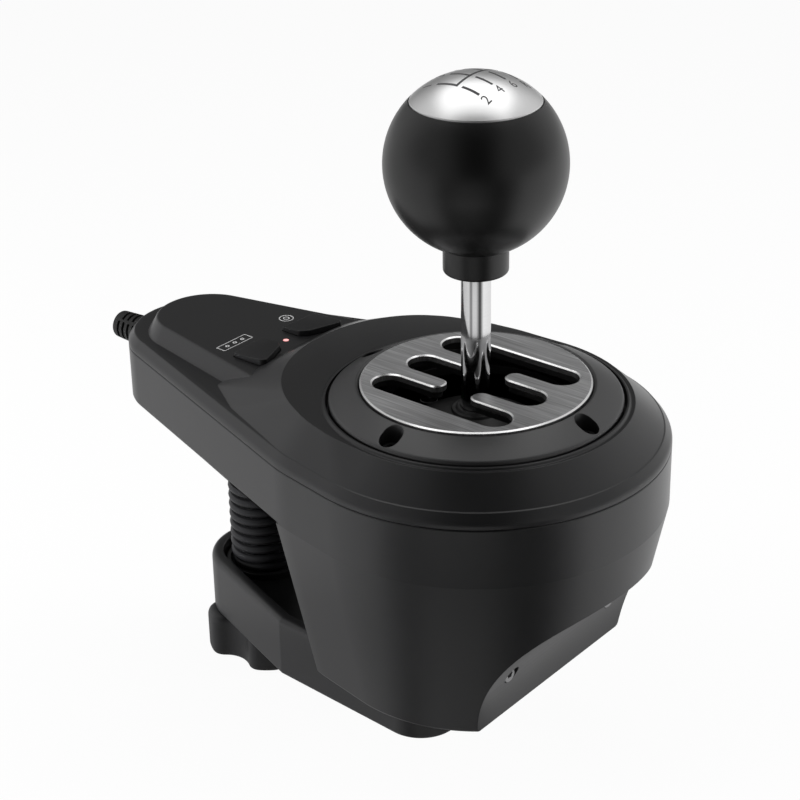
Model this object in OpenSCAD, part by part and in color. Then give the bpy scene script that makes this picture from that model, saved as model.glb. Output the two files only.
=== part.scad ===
// Desk-clamped gear shifter with an H gate, a sprung lever and a ball knob.
// Millimetres, +Z up. The origin is on the lever's axis in the plane of the desk's top.
// +Y runs to the tail, away from the driver, and +X to the driver's right.

/* [Body] */
// Radius of the round body at the parting line
body_r = 59.7; // [58:0.1:62]
// Radius of the second circle that stretches the body towards the tail
back_r = 56.5; // [55:0.1:57.5]
// Distance of that circle's centre from the lever's axis
back_y = 17.7; // [16:0.1:19]
// Radius of the tail's round end
tail_r = 24.5; // [23:0.1:26]
// Distance of the tail end's centre from the lever's axis
tail_y = 116.4; // [112:0.1:120]
// Wall thickness of the shells
wall = 2.6; // [2.2:0.1:2.8]
// How far the tub's wall draws in from the tail's level to the desk
tub_draw = 11.8; // [10:0.1:13]
// Height of the tail's underside above the desk
tail_z = 58; // [56:0.1:60]
// Height of the line where cover and housing part
part_z = 77; // [76:0.1:78]
// Width of the dark groove along the parting line
part_gap = 0.7; // [0.4:0.1:1]
// Place of the tub's rear face at the tail's level
rear_y = 35; // [34:0.1:37]
// How far the rear face leans in on its way down
rear_lean = 4.9; // [3:0.1:6]
// Radius of the hollow for the driver's knees
knee_r = 52.8; // [50:0.1:56]
// Distance of the knee hollow's centre towards the driver
knee_y = 81.9; // [81:0.1:84]
// Depth of the knee hollow's centre under the desk's top
knee_z = 4.7; // [3:0.1:6]

/* [Cover] */
// Height of the ledge round the tail and of the shoulder's foot
ledge_z = 81.6; // [81:0.1:82.2]
// How far the ledge's edge lies inside the wall
ledge_in = 2.2; // [1.5:0.1:2.8]
// Height of the dish where it starts round the gate
dish_z = 89.2; // [88.6:0.1:89.8]
// Radius where the dish starts
dish_r = 47; // [46.8:0.1:47.6]
// Height of the bead that edges the gate's recess
bead_z = 90; // [89.6:0.1:90.4]
// Rise of the dish for each millimetre outwards
dish_slope = 0.2; // [0.15:0.01:0.25]
// Radius of the crest in front of the lever
crest_r = 48.2; // [48:0.1:49]
// Radius of the crest round the second centre
crest_back_r = 44.2; // [43:0.1:45]
// Height of the crest at the tail side
crest_z = 92.2; // [91.8:0.1:93]
// Height of the tail's upper face
panel_z = 87; // [86:0.1:88]
// Half of the upper face's width at its ring side
panel_half = 28.5; // [27:0.1:29]
// Distance of the upper face's ring side from the lever's axis
panel_y = 60; // [58:0.1:62]
// Radius of the upper face's round end
panel_r = 16.8; // [16:0.1:18]
// Distance of that round end's centre from the lever's axis
panel_end_y = 113; // [110:0.1:115]
// How far the upper tier's sides slope out down to the ledge
tier_out = 3.4; // [2.5:0.1:4]
// Half of the width of the step between crest and upper face
step_half = 24; // [22:0.5:25]
// Radius of the step's foot round the second centre
step_r = 53.5; // [52.5:0.1:54]

/* [Gate] */
// Height of the gate plate's upper face
gate_z = 95.4; // [95:0.1:96]
// Radius of the gate plate
gate_r = 35.3; // [34.5:0.1:35.8]
// Thickness of the gate plate
gate_t = 2; // [1.6:0.1:2.2]
// Thickness of the moulded guide under the plate
guide_t = 2.5; // [2:0.1:3]
// How much wider the guide's slots are than the plate's, on each side
guide_relief = 1.2; // [1.2:0.1:1.5]
// Distance between neighbouring slots
slot_pitch = 17.15; // [17:0.05:18]
// Distance of a slot's end centre from the neutral line
slot_reach = 19.7; // [19:0.1:20.5]
// Clearance between the rod and a slot's side
slot_clear = 0.85; // [0.8:0.05:1]
// Outer radius of the bezel round the plate
bezel_r = 44.9; // [44.4:0.1:45.2]
// Radius of the circle that carries the bezel's screws
bezel_screw_r = 40.5; // [40:0.1:41]
// Height of the seat that carries the bezel
seat_z = 85.4; // [85:0.1:86]
// Radius of the opening under the bezel
opening_r = 31.5; // [30:0.1:33]

/* [Lever] */
// Height of the lever's pivot
pivot_z = 47.4; // [47:0.1:48]
// Radius of the shift rod
rod_r = 4.5; // [4.3:0.05:4.6]
// Travel of the rod when it is pressed down for reverse
press_travel = 6; // [5:0.1:6.5]
// Width of the square lever block
block_w = 19; // [18:0.1:19.5]
// Height of the lever block above the pivot
block_up = 24; // [23:0.1:25]
// Depth of the lever block below the pivot
block_down = 9; // [8.5:0.1:9.5]
// Outer radius of the dust dome
dome_r = 38.5; // [38:0.1:39]
// Half of the angle that the dust dome spans
dome_angle = 41; // [40:1:43]
// Radius of the gimbal's pins
pin_r = 2.5; // [2.2:0.1:2.7]
// Width of the square gimbal ring
ring_w = 36; // [35:0.1:37]
// Width of the gimbal ring's opening
ring_in = 26; // [25:0.1:26.5]
// Height of the gimbal ring
ring_h = 12; // [11:0.1:12]

/* [Knob] */
// Radius of the ball knob
ball_r = 27; // [25:0.1:29]
// Height of the ball's centre
ball_z = 164.4; // [160:0.1:170]
// Radius of the cap let into the ball's top
cap_r = 19.3; // [18:0.1:20]
// Radius of the collar under the ball
collar_r = 9.8; // [9:0.1:11]
// Height of the collar's lower face
collar_z = 131.2; // [129:0.1:133]

/* [Buttons] */
// How far a button's high edge stands above the upper face
button_up = 2; // [1.5:0.1:2.5]
// Travel of a button
button_travel = 1; // [0.6:0.1:1.2]
// Gap round a button
button_gap = 0.4; // [0.3:0.05:0.6]

/* [Clamp] */
// Distance of the clamp screw from the lever's axis
screw_y = 91; // [90:0.1:92]
// Radius of the clamp screw
screw_r = 5; // [4.5:0.1:5]
// Opening travel of the jaw
jaw_travel = 24; // [20:0.5:24]
// Height of the jaw's rim beside the tub
jaw_rim_z = 3; // [2:0.1:4]
// Height of the jaw's foot under the desk's top, as a negative number
jaw_foot_z = -7; // [-8:0.1:-6.5]
// Height of the jaw's underside
jaw_bottom_z = -17.1; // [-18:0.1:-16]
// Thickness of the jaw's rim
jaw_rim = 2.6; // [2.2:0.1:3]
// Outer radius of the clamp spring
spring_r = 10.8; // [10.4:0.1:11.2]
// Diameter of the clamp spring's wire
wire_d = 2.2; // [1.8:0.1:2.3]
// Number of turns of the clamp spring
spring_turns = 12; // [10:1:14]
// Radius of the hand knob's lobes
hand_r = 22; // [21:0.1:23]
// Radius of the hand knob at the bottom of its flutes
hand_flute_r = 17.5; // [16.5:0.1:18]
// Height of the hand knob
hand_h = 15.6; // [14:0.1:17]

/* [Fits] */
// Radial clearance of a pin or shaft that turns or slides in its bore
run_fit = 0.05; // [0.02:0.01:0.09]
// Clearance between fixed pieces that slip together
slip_fit = 0.2; // [0.1:0.05:0.3]
// Clearance between a spring's wire and its seat
seat_fit = 0.3; // [0.2:0.05:0.4]
// Radius of the small screws' shanks
shank_r = 1.5; // [1.2:0.05:1.6]
// Radius of the small screws' heads
head_r = 2.8; // [2.6:0.05:2.9]
// Height of the small screws' heads
head_h = 2; // [1.6:0.1:2]

/* [Hidden] */
$fn = 96;
over = 1;
far = 200;
sliver = 0.02;
rim_steps = 72;

// Colours of the finishes
shell_black = "#2c2c2e";
deep_black = "#161617";
steel = "#b9bbbe";
brass = "#b08d45";
board_green = "#1f5a36";
rubber = "#1b1b1b";
nylon = "#d8d6cf";

// Heights that follow from the driving sizes
cover_foot_z = part_z + part_gap / 2;
housing_top_z = part_z - part_gap / 2;
tail_floor_z = tail_z + wall;
lip_h = 1.6;
lip_t = wall / 2 - slip_fit / 2;
shelf_t = 3;
bezel_gap = 0.9;
recess_r = bezel_r + bezel_gap;
ledge_sink = 0.4;
tail_edge_z = ledge_z - ledge_sink;
skirt_h = 1.5;
roll_h = 0.9;
roll_share = 0.4;
shoulder_r = body_r - ledge_in;
shoulder_back_r = back_r - ledge_in;
shoulder_tip = [37.6, 65.4, 2];
shoulder_spare = 0.8;
shoulder_top_z = crest_z + shoulder_spare;
step_from_y = 40;
bead_edge = 0.4;
crest_front_z = dish_z + dish_slope * (crest_r - dish_r);
panel_slope = tier_out / (panel_z - tail_edge_z);
panel_t = wall;

// Gate stack, from the plate down to the bezel's flange
slot_half = rod_r + slot_clear;
guide_z = gate_z - gate_t - guide_t;
flange_t = 2.5;
screw_face_up = 2.1;
screw_face_z = seat_z + screw_face_up;
bezel_groove = 1.2;
bezel_crown_z = gate_z - 0.4;
bezel_groove_z = gate_z - 1.1;
bezel_edge = 0.5;
bezel_edge_z = gate_z - 5;
flange_w = 5;
bezel_post_r = 3.6;
bezel_post_h = 8;

// Small screws: how far they go into their posts, and how deep their heads sit
screw_hold = 8;
front_head = 4.4;
cover_head = 4;

// Gimbal and lever
block_floor = 3;
rod_up = 6;
rod_foot_z = pivot_z + rod_up;
pin_depth = 3.1;
cross_r = 1.5;
cross_in = 3;
cross_z = pivot_z + block_up - cross_in;
cross_l = 26;
dome_t = 1.5;
hub_r = 8;
hub_up = 0.8;
reverse_size = [4.5, 9, 4.4];
stand_foot_t = 4;
ear_t = 6;
ear_gap = 0.6;
ear_w = 16;
sensor_t = 6;
sensor_w = 14;
ring_sensor_t = 4;
ring_sensor_w = 12;
stand_half = 20;
spring_h = 15.4;
spring_post_z = pivot_z - ring_h / 2 - spring_h;
spring_post_in = 3.5;
spring_post_x = ring_w / 2 - spring_post_in;
spring_post_r = 5;
spring_stud_r = 2;
spring_stud_h = 4;
centring_r = 3.4;
press_r = 3.5;
small_wire = 0.9;
small_turns = 5;
pin_start = 0.4;

// Base
pad_t = 1;
base_t = 4;
base_z = pad_t + base_t;
tab_y = -26.6;
tab_t = 4;
tab_w = 10;
tab_h = 19;
front_screw = [26.6, 16.7];
front_post_r = 5;
front_post_l = 9;
base_post_in = 7.8;
base_posts = [
    [body_r - tub_draw - base_post_in, -8],
    [back_r - tub_draw - base_post_in, back_y + 2.3]
];
base_post_h = 12;
base_rib_l = 7.4;
base_rib_t = 4;
post_r = 4;
stand_screw_in = 2;
stand_posts = [[15, 21], [15, -21]];

// Tail
cover_post_in = 20.5;
cover_posts = [[back_r - cover_post_in, 47], [9, tail_y + 1.6]];
cover_post_z = 70;
board_y = [44, 72];
board_half = 17;
board_t = 1.6;
board_z = tail_floor_z + 5.4;
board_posts = [[14, 47], [14, 69]];
board_post_r = 2.6;
board_shank_r = 1;
board_head_r = 2;
board_head_h = 1.4;
board_screw_l = 4.5;
key_board_y = [69, 81];
key_board_half = 25.4;
key_board_z = 75.8;
key_posts = [[23, 75]];
key_post_r = 2;
key_place = [12, 76.5];
switch_w = 6;
switch_h = 3.5;
switch_tip_r = 1.6;
switch_tip_h = 0.5;
light_place = [0, 77.5];
light_r = 0.9;
relief_z = 71.8;
relief_root_r = 5.5;
relief_tip_r = 4.7;
relief_l = 14.6;
relief_neck_r = 4;
relief_bore_r = 2;
relief_flange_t = 2;
relief_flange_r = 6;
relief_seat_y = tail_y + sqrt((tail_r - wall) * (tail_r - wall) - relief_flange_r * relief_flange_r);
relief_slots = 4;
relief_slot = [6, 1.1, 3];
relief_slot_up = 4.6;
relief_row = [0.3, 0.8];
tail_end_y = tail_y + tail_r;

// Buttons: half of the pair, seen from above, on the right of the middle
button_outline = [[4.9, 83.5], [4.9, 76.3], [7.2, 73.6], [18.2, 69.4], [19.5, 70.9], [19.5, 82.5]];
button_low_y = 83.5;
button_high_y = 70;
button_flange = 1;
button_flange_t = 1.2;
button_stem_r = 2;

// Clamp
insert_r = 6.6;
insert_z = 50;
insert_h = 16;
boss_r = 8;
boss_top_z = 70;
boss_in_r = 10;
thread_hold = 9;
screw_top_z = insert_z + thread_hold + jaw_travel;
jaw_sink = 4;
jaw_floor_z = jaw_rim_z - jaw_sink;
jaw_end_r = 19;
jaw_corner = [28.2, 55.6];
jaw_corner_r = 4;
jaw_front = [22.3, 5];
jaw_front_r = 13;
jaw_step_y = 37;
jaw_collar_t = 2.4;
jaw_collar_h = 2.5;
pocket_gap = 0.4;
pocket_r = spring_r + pocket_gap;
jaw_pad_t = 1.2;
washer_r = 9;
washer_t = 1.4;
hand_gap = 0.1;
hand_top_z = jaw_bottom_z - 2 * hand_gap;
jaw_bore_r = screw_r + 3 * run_fit;
hand_flute = 9;
hand_lobes = 5;
hand_turn = 141;
hand_round = 2;
hand_floor = 1.5;

// Copies a shape to its mirror place across the middle plane
module pair() {
    children();
    mirror([1, 0, 0]) children();
}

// Puts a shape at each of a list of plan points and their mirror places
module posts(points) {
    pair() for (p = points) translate([p[0], p[1], 0]) children();
}

// Turns a shape that stands on Z to lie along +Y, with its foot at a place
module along_y(place) {
    translate(place) rotate([-90, 0, 0]) children();
}

// Turns a shape that stands on Z to lie along +X, with its foot at a place
module along_x(place) {
    translate(place) rotate([0, 90, 0]) children();
}

// Circles, as [x, y, radius], whose common hull is an outline
body_circles = [[0, 0, body_r], [0, back_y, back_r]];
outline_circles = concat(body_circles, [[0, tail_y, tail_r]]);
panel_corner_r = 6;
panel_corner_x = panel_half + 2 - panel_corner_r;
panel_corner_y = panel_y - 10;
panel_circles = [
    [0, panel_end_y, panel_r],
    [panel_corner_x, panel_corner_y, panel_corner_r], [-panel_corner_x, panel_corner_y, panel_corner_r]
];

// The point of an outline that lies furthest in a direction, and the whole outline
function reach(c, a) = c[0] * cos(a) + c[1] * sin(a) + c[2];
function furthest(circles, a) =
    let (most = max([for (c = circles) reach(c, a)]))
    [for (c = circles) if (reach(c, a) == most) c][0];
function rim_point(circles, a) =
    let (c = furthest(circles, a))
    [c[0] + c[2] * cos(a), c[1] + c[2] * sin(a)];
function rim(circles) = [for (k = [0 : rim_steps - 1]) rim_point(circles, 360 * k / rim_steps)];
function drawn_in(circles, by) = [for (c = circles) [c[0], c[1], c[2] - by]];

// An upright slab of an outline, drawn in by an amount
module slab(circles, inset, low, high) {
    translate([0, 0, low]) linear_extrude(high - low) polygon(rim(drawn_in(circles, inset)));
}

// A skin through outlines at rising heights, each given as [height, circles]
module loft(levels) {
    last = len(levels) - 1;
    points = [for (level = levels) for (p = rim(level[1])) [p[0], p[1], level[0]]];
    sides = [for (i = [0 : last - 1], k = [0 : rim_steps - 1], half = [0, 1])
        let (
            a = i * rim_steps + k,
            b = i * rim_steps + (k + 1) % rim_steps
        )
        half == 0 ? [a, a + rim_steps, b] : [b, a + rim_steps, b + rim_steps]];
    foot = [for (k = [0 : rim_steps - 1]) k];
    head = [for (k = [rim_steps - 1 : -1 : 0]) last * rim_steps + k];
    polyhedron(points = points, faces = concat(sides, [foot, head]));
}

// A screw with a plain head on top, standing on the head's seat
module screw(length) {
    cylinder(r = head_r, h = head_h);
    translate([0, 0, -length]) cylinder(r = shank_r, h = length + over);
}

// A bar with round ends along Y, for one gate slot
module slot_shape(reach, half) {
    square([2 * half, 2 * reach], center = true);
    for (side = [-1, 1]) translate([0, side * reach]) circle(r = half);
}

// The whole H of the gate: three slots and the neutral channel, with round tongues between
module gate_shape(half) {
    tongue = slot_pitch / 2 - half;
    for (column = [-1, 0, 1]) translate([column * slot_pitch, 0]) slot_shape(slot_reach, half);
    difference() {
        square([2 * slot_pitch, 2 * (half + tongue)], center = true);
        for (x = [-1, 1], y = [-1, 1])
            translate([x * slot_pitch / 2, y * (half + tongue)]) circle(r = tongue - sliver);
    }
}

// Points of a coil spring that stands on Z, with a straight foot and head
function coil_turn(i, n, turns) = 360 * turns * i / n;
function coil_path(radius, low, high, turns, wire) =
    let (n = 8 * turns, foot = low + wire, rise = high - low - 2 * wire)
    concat(
        [[radius, 0, low]],
        [for (i = [0 : n])
            let (a = coil_turn(i, n, turns))
            [radius * cos(a), radius * sin(a), foot + rise * i / n]],
        [[radius * cos(360 * turns), radius * sin(360 * turns), high]]
    );

// Least free gap between turns, measured on the points of a coil
function coil_gap(path, wire) =
    min([for (i = [1 : len(path) - 6], j = [i + 5 : len(path) - 1]) norm(path[i] - path[j])]) - wire;

// One unbroken six-sided tube along a coil's points
module coil(path, wire) {
    sides = 6;
    last = len(path) - 1;
    rings = [for (i = [0 : last])
        let (
            along = path[min(i + 1, last)] - path[max(i - 1, 0)],
            ahead = along / norm(along),
            out = [path[i][0], path[i][1], 0] / norm([path[i][0], path[i][1]]),
            side = cross(ahead, out)
        )
        for (k = [0 : sides - 1])
            path[i] + wire / 2 * (cos(360 * k / sides) * out + sin(360 * k / sides) * side)];
    skin = [for (i = [0 : last - 1], k = [0 : sides - 1], half = [0, 1])
        let (
            a = i * sides + k,
            b = i * sides + (k + 1) % sides
        )
        half == 0 ? [a, a + sides, b] : [b, a + sides, b + sides]];
    foot = [for (k = [1 : sides - 2]) [0, k, k + 1]];
    head = [for (k = [1 : sides - 2]) [last * sides, last * sides + k + 1, last * sides + k]];
    polyhedron(points = rings, faces = concat(skin, foot, head));
}

// Cuts a shape off at the tub's leaning rear face, moved in by an amount
module keep_before_rear(inset) {
    lean = atan(rear_lean / tail_z);
    difference() {
        children();
        translate([0, rear_y - inset, tail_z]) rotate([-lean, 0, 0])
            translate([-far / 2, 0, -far]) cube([far, far, 2 * far]);
    }
}

// The knee hollow, moved inwards by an amount
module knee(inset) {
    along_x([-far / 2, -knee_y, -knee_z]) cylinder(r = knee_r + inset, h = far);
}

// Circles of the tapered tub at a height up to the tail's level
function tub_circles(z, inset) = drawn_in(body_circles, inset + tub_draw * (tail_z - z) / tail_z);

module lower_housing() {
    color(shell_black) difference() {
        union() {
            difference() {
                union() {
                    slab(outline_circles, 0, tail_z, housing_top_z);
                    slab(outline_circles, wall - lip_t, tail_z + over, housing_top_z + lip_h);
                    keep_before_rear(0) loft([
                        [0, tub_circles(0, 0)], [tail_z, tub_circles(tail_z, 0)],
                        [tail_z + over, tub_circles(tail_z, over)]
                    ]);
                }
                slab(outline_circles, wall, tail_floor_z, housing_top_z + lip_h + over);
                difference() {
                    keep_before_rear(wall) loft([
                        [-over, tub_circles(-over, wall)], [tail_z, tub_circles(tail_z, wall)],
                        [tail_floor_z + over, tub_circles(tail_z, wall + slip_fit)]
                    ]);
                    knee(wall);
                }
            }
            // Screw posts on the tail's floor and inside the tub's foot
            posts(cover_posts) translate([0, 0, tail_z]) cylinder(r = post_r, h = cover_post_z - tail_z);
            posts(board_posts) translate([0, 0, tail_z + over])
                cylinder(r = board_post_r, h = board_z - tail_z - over);
            posts(base_posts) translate([0, 0, base_z]) {
                cylinder(r = post_r, h = base_post_h);
                translate([0, -base_rib_t / 2, 0]) cube([base_rib_l, base_rib_t, base_post_h]);
            }
            // Posts behind the knee hollow for the front screws
            pair() along_y([front_screw[0], tab_y - slip_fit - front_post_l, front_screw[1]])
                cylinder(r = front_post_r, h = front_post_l);
            // Boss for the clamp screw's thread insert, which also guides the spring
            translate([0, screw_y, insert_z]) cylinder(r = boss_r, h = tail_z - insert_z + over);
            translate([0, screw_y, tail_z]) cylinder(r = boss_in_r, h = boss_top_z - tail_z);
        }
        knee(0);
        posts(cover_posts) translate([0, 0, tail_z - over])
            cylinder(r = shank_r + slip_fit, h = cover_post_z - tail_z + 2 * over);
        posts(cover_posts) translate([0, 0, tail_z - over])
            cylinder(r = head_r + slip_fit, h = cover_head + over);
        posts(board_posts) translate([0, 0, tail_floor_z]) cylinder(r = board_shank_r, h = board_z);
        posts(base_posts) translate([0, 0, base_z - over]) cylinder(r = shank_r, h = base_post_h);
        pair() along_y([front_screw[0], tab_y - 2 * front_post_l, front_screw[1]]) {
            cylinder(r = shank_r + slip_fit, h = 2 * front_post_l + over);
            cylinder(r = head_r + slip_fit, h = 2 * front_post_l - front_head);
        }
        translate([0, screw_y, insert_z - over]) cylinder(r = insert_r, h = insert_h + over);
        translate([0, screw_y, insert_z]) cylinder(r = screw_r + slip_fit, h = boss_top_z);
        along_y([0, tail_end_y - 2 * wall, relief_z])
            cylinder(r = relief_neck_r + slip_fit / 2, h = 3 * wall);
    }
}

// The inclined block that a button's outline is cut from, raised above the upper face
module button_shape(gap, low, high) {
    translate([0, 0, low]) linear_extrude(high - low) offset(delta = gap) polygon(button_outline);
}

module upper_cover() {
    seat_low = seat_z - shelf_t;
    post_low = seat_low - bezel_post_h;
    rebate_z = housing_top_z + lip_h + slip_fit;
    front_rise = (shoulder_top_z - tail_edge_z) / (crest_front_z - tail_edge_z);
    back_rise = (shoulder_top_z - tail_edge_z) / (crest_z - tail_edge_z);
    shoulder_foot = [
        [0, 0, shoulder_r], [0, back_y, shoulder_back_r], shoulder_tip,
        [-shoulder_tip[0], shoulder_tip[1], shoulder_tip[2]]
    ];
    shoulder_head = [
        [0, 0, shoulder_r + (crest_r - shoulder_r) * front_rise],
        [0, back_y, shoulder_back_r + (crest_back_r - shoulder_back_r) * back_rise]
    ];
    color(shell_black) difference() {
        union() {
            difference() {
                union() {
                    // Skirt with its rolled upper edge
                    loft([
                        [cover_foot_z, outline_circles],
                        [cover_foot_z + skirt_h, outline_circles],
                        [ledge_z - roll_h, drawn_in(outline_circles, ledge_in * roll_share)],
                        [ledge_z, drawn_in(outline_circles, ledge_in)]
                    ]);
                    // Shoulder that climbs from the skirt to the crest round the gate
                    loft([
                        [tail_edge_z, shoulder_foot],
                        [shoulder_top_z, shoulder_head]
                    ]);
                    // Upper tier of the tail
                    loft([
                        [tail_edge_z, drawn_in(panel_circles, -tier_out)],
                        [panel_z, panel_circles]
                    ]);
                    // Step from the crest down to the upper face
                    intersection() {
                        translate([0, back_y, panel_z - over])
                            cylinder(
                                r1 = step_r + over * (step_r - crest_back_r) / (crest_z - panel_z),
                                r2 = crest_back_r,
                                h = crest_z - panel_z + over
                            );
                        translate([-step_half, step_from_y, 0]) cube([2 * step_half, far, far]);
                    }
                }
                // Dish, bead and the recess for the bezel
                rotate_extrude() polygon([
                    [0, bead_z], [dish_r - bead_edge, bead_z], [dish_r, dish_z],
                    [dish_r + far, dish_z + far * dish_slope], [dish_r + far, far], [0, far]
                ]);
                translate([0, 0, seat_z]) cylinder(r = recess_r, h = far);
                // Hollow of the skirt, with the rebate that takes the housing's lip
                slab(outline_circles, wall - lip_t - slip_fit, cover_foot_z - over, rebate_z);
                // Hollow under the shoulder and the seat
                loft([
                    [cover_foot_z - over, drawn_in(body_circles, wall)],
                    [ledge_z - wall, drawn_in(body_circles, 2 * wall)],
                    [seat_low, drawn_in(body_circles, 3 * wall)]
                ]);
                // Hollow of the tail's upper tier
                loft([
                    [cover_foot_z - over, drawn_in(panel_circles, wall / 2 - tier_out)],
                    [panel_z - panel_t, drawn_in(panel_circles, panel_slope * panel_t + wall / 2)]
                ]);
            }
            // Posts that meet the housing, the bezel's screws and the key board
            posts([cover_posts[0]]) translate([0, 0, cover_post_z])
                cylinder(r = post_r, h = seat_low - cover_post_z + over);
            posts([cover_posts[1]]) translate([0, 0, cover_post_z])
                cylinder(r = post_r, h = panel_z - cover_post_z - over);
            posts(key_posts) translate([0, 0, key_board_z + board_t])
                cylinder(r = key_post_r, h = panel_z - key_board_z - board_t - over);
            for (a = [0 : 90 : 270]) rotate(a) translate([bezel_screw_r, 0, post_low])
                cylinder(r = bezel_post_r, h = seat_low - post_low + over);
        }
        translate([0, 0, seat_low - over]) cylinder(r = opening_r, h = shelf_t + 2 * over);
        posts(cover_posts) translate([0, 0, cover_post_z - over])
            cylinder(r = shank_r, h = screw_hold + 2 * over);
        posts(key_posts) translate([0, 0, key_board_z])
            cylinder(r = board_shank_r, h = board_screw_l + over);
        for (a = [0 : 90 : 270]) rotate(a) translate([bezel_screw_r, 0, post_low - over])
            cylinder(r = shank_r, h = shelf_t + bezel_post_h + 2 * over);
        pair() button_shape(button_gap, panel_z - panel_t - over, crest_z + over);
        translate([light_place[0], light_place[1], panel_z - panel_t - over])
            cylinder(r = light_r + run_fit, h = panel_t + 2 * over);
    }
}

module gate_bezel() {
    flange_z = guide_z - flange_t;
    bore = gate_r + slip_fit;
    color(shell_black) difference() {
        rotate_extrude() polygon([
            [opening_r, flange_z], [opening_r, guide_z], [bore, guide_z], [bore, bezel_groove_z],
            [gate_r + bezel_groove, bezel_crown_z], [bezel_r - bezel_edge, bezel_edge_z + bezel_edge],
            [bezel_r, bezel_edge_z], [bezel_r, seat_z],
            [opening_r + flange_w, seat_z], [opening_r + flange_w, flange_z]
        ]);
        for (a = [0 : 90 : 270]) rotate(a) translate([bezel_screw_r, 0, 0]) {
            translate([0, 0, seat_z - over]) cylinder(r = shank_r + slip_fit, h = far);
            translate([0, 0, screw_face_z]) cylinder(r = head_r + slip_fit, h = far);
        }
    }
}

module gate_plate() {
    color(steel) translate([0, 0, gate_z - gate_t]) linear_extrude(gate_t) difference() {
        circle(r = gate_r);
        gate_shape(slot_half);
    }
}

module gate_guide() {
    color(deep_black) translate([0, 0, guide_z]) linear_extrude(guide_t) difference() {
        circle(r = gate_r);
        gate_shape(slot_half + guide_relief);
    }
}

module bezel_screws() {
    color(deep_black) for (a = [0 : 90 : 270])
        rotate(a) translate([bezel_screw_r, 0, screw_face_z]) screw(screw_face_up + screw_hold);
}

// A slab that closes the tub's foot, with a clearance to its walls
module foot_slab(low, high) {
    rear = rear_y - rear_lean - wall - slip_fit;
    intersection() {
        slab(tub_circles(0, wall + slip_fit), 0, low, high);
        translate([-body_r, tab_y, low]) cube([2 * body_r, rear - tab_y, high - low]);
    }
}

module base_plate() {
    color(shell_black) difference() {
        union() {
            foot_slab(pad_t, base_z);
            pair() translate([front_screw[0] - tab_w / 2, tab_y, base_z - over])
                cube([tab_w, tab_t, tab_h + over]);
        }
        posts(base_posts) cylinder(r = shank_r + slip_fit, h = base_z + over);
        posts(base_posts) cylinder(r = head_r + slip_fit, h = pad_t + head_h);
        posts(stand_posts) translate([0, 0, pad_t + over]) cylinder(r = shank_r, h = base_t);
        pair() along_y([front_screw[0], tab_y - over, front_screw[1]])
            cylinder(r = shank_r, h = tab_t + 2 * over);
    }
}

module base_pad() {
    color(rubber) difference() {
        foot_slab(0, pad_t);
        posts(base_posts) translate([0, 0, -over]) cylinder(r = head_r + slip_fit, h = pad_t + 2 * over);
    }
}

module base_screws() {
    color(steel) posts(base_posts) translate([0, 0, pad_t + head_h]) rotate([180, 0, 0])
        screw(base_t - head_h + screw_hold);
}

module front_screws() {
    color(steel) pair() along_y([front_screw[0], tab_y - front_head, front_screw[1]])
        rotate([180, 0, 0]) screw(front_head + tab_t);
}

module cover_screws() {
    color(steel) posts(cover_posts) translate([0, 0, tail_z + cover_head]) rotate([180, 0, 0])
        screw(cover_post_z - tail_z - cover_head + screw_hold);
}

module gimbal_stand() {
    ear_in = ring_w / 2 + ear_gap;
    color(deep_black) difference() {
        union() {
            translate([-stand_half, -ear_in - ear_t, base_z])
                cube([2 * stand_half, 2 * (ear_in + ear_t), stand_foot_t]);
            for (side = [-1, 1]) {
                translate([-ear_w / 2, side > 0 ? ear_in : -ear_in - ear_t, base_z])
                    cube([ear_w, ear_t, pivot_z - base_z]);
                along_y([0, side > 0 ? ear_in : -ear_in - ear_t, pivot_z])
                    cylinder(r = ear_w / 2, h = ear_t);
            }
            pair() translate([spring_post_x, 0, base_z]) {
                cylinder(r = spring_post_r, h = spring_post_z - base_z);
                cylinder(r = spring_stud_r, h = spring_post_z - base_z + spring_stud_h);
            }
        }
        along_y([0, -ear_in - ear_t - over, pivot_z])
            cylinder(r = pin_r + run_fit, h = 2 * (ear_in + ear_t + over));
        posts(stand_posts) translate([0, 0, base_z - over])
            cylinder(r = shank_r + slip_fit, h = stand_foot_t + 2 * over);
    }
}

module stand_screws() {
    color(steel) posts(stand_posts) translate([0, 0, base_z + stand_foot_t])
        screw(stand_foot_t + stand_screw_in);
}

module select_sensor() {
    face = ring_w / 2 + ear_gap + ear_t;
    color(deep_black) difference() {
        translate([-sensor_w / 2, -face - sensor_t, pivot_z - sensor_w / 2])
            cube([sensor_w, sensor_t, sensor_w]);
        along_y([0, -face - sensor_t + over, pivot_z]) cylinder(r = pin_r + run_fit, h = sensor_t);
    }
}

module centring_springs() {
    low = spring_post_z + seat_fit;
    path = coil_path(centring_r, low, pivot_z - ring_h / 2 - seat_fit, small_turns, small_wire);
    echo(centring_spring_gap = coil_gap(path, small_wire));
    color(steel) pair() translate([spring_post_x, 0, 0]) coil(path, small_wire);
}

module gimbal_ring() {
    color(nylon) difference() {
        translate([-ring_w / 2, -ring_w / 2, pivot_z - ring_h / 2]) cube([ring_w, ring_w, ring_h]);
        translate([-ring_in / 2, -ring_in / 2, pivot_z - ring_h / 2 - over])
            cube([ring_in, ring_in, ring_h + 2 * over]);
        along_y([0, -ring_w, pivot_z]) cylinder(r = pin_r, h = 2 * ring_w);
        along_x([-ring_w, 0, pivot_z]) cylinder(r = pin_r + run_fit, h = 2 * ring_w);
    }
}

module gimbal_pins() {
    start = ring_in / 2 + pin_start;
    reach = ring_w / 2 + ear_gap + ear_t;
    color(steel) {
        along_y([0, start, pivot_z]) cylinder(r = pin_r, h = reach - start - slip_fit);
        along_y([0, -reach - sensor_t + over + slip_fit, pivot_z])
            cylinder(r = pin_r, h = reach + sensor_t - over - slip_fit - start);
    }
}

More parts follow.
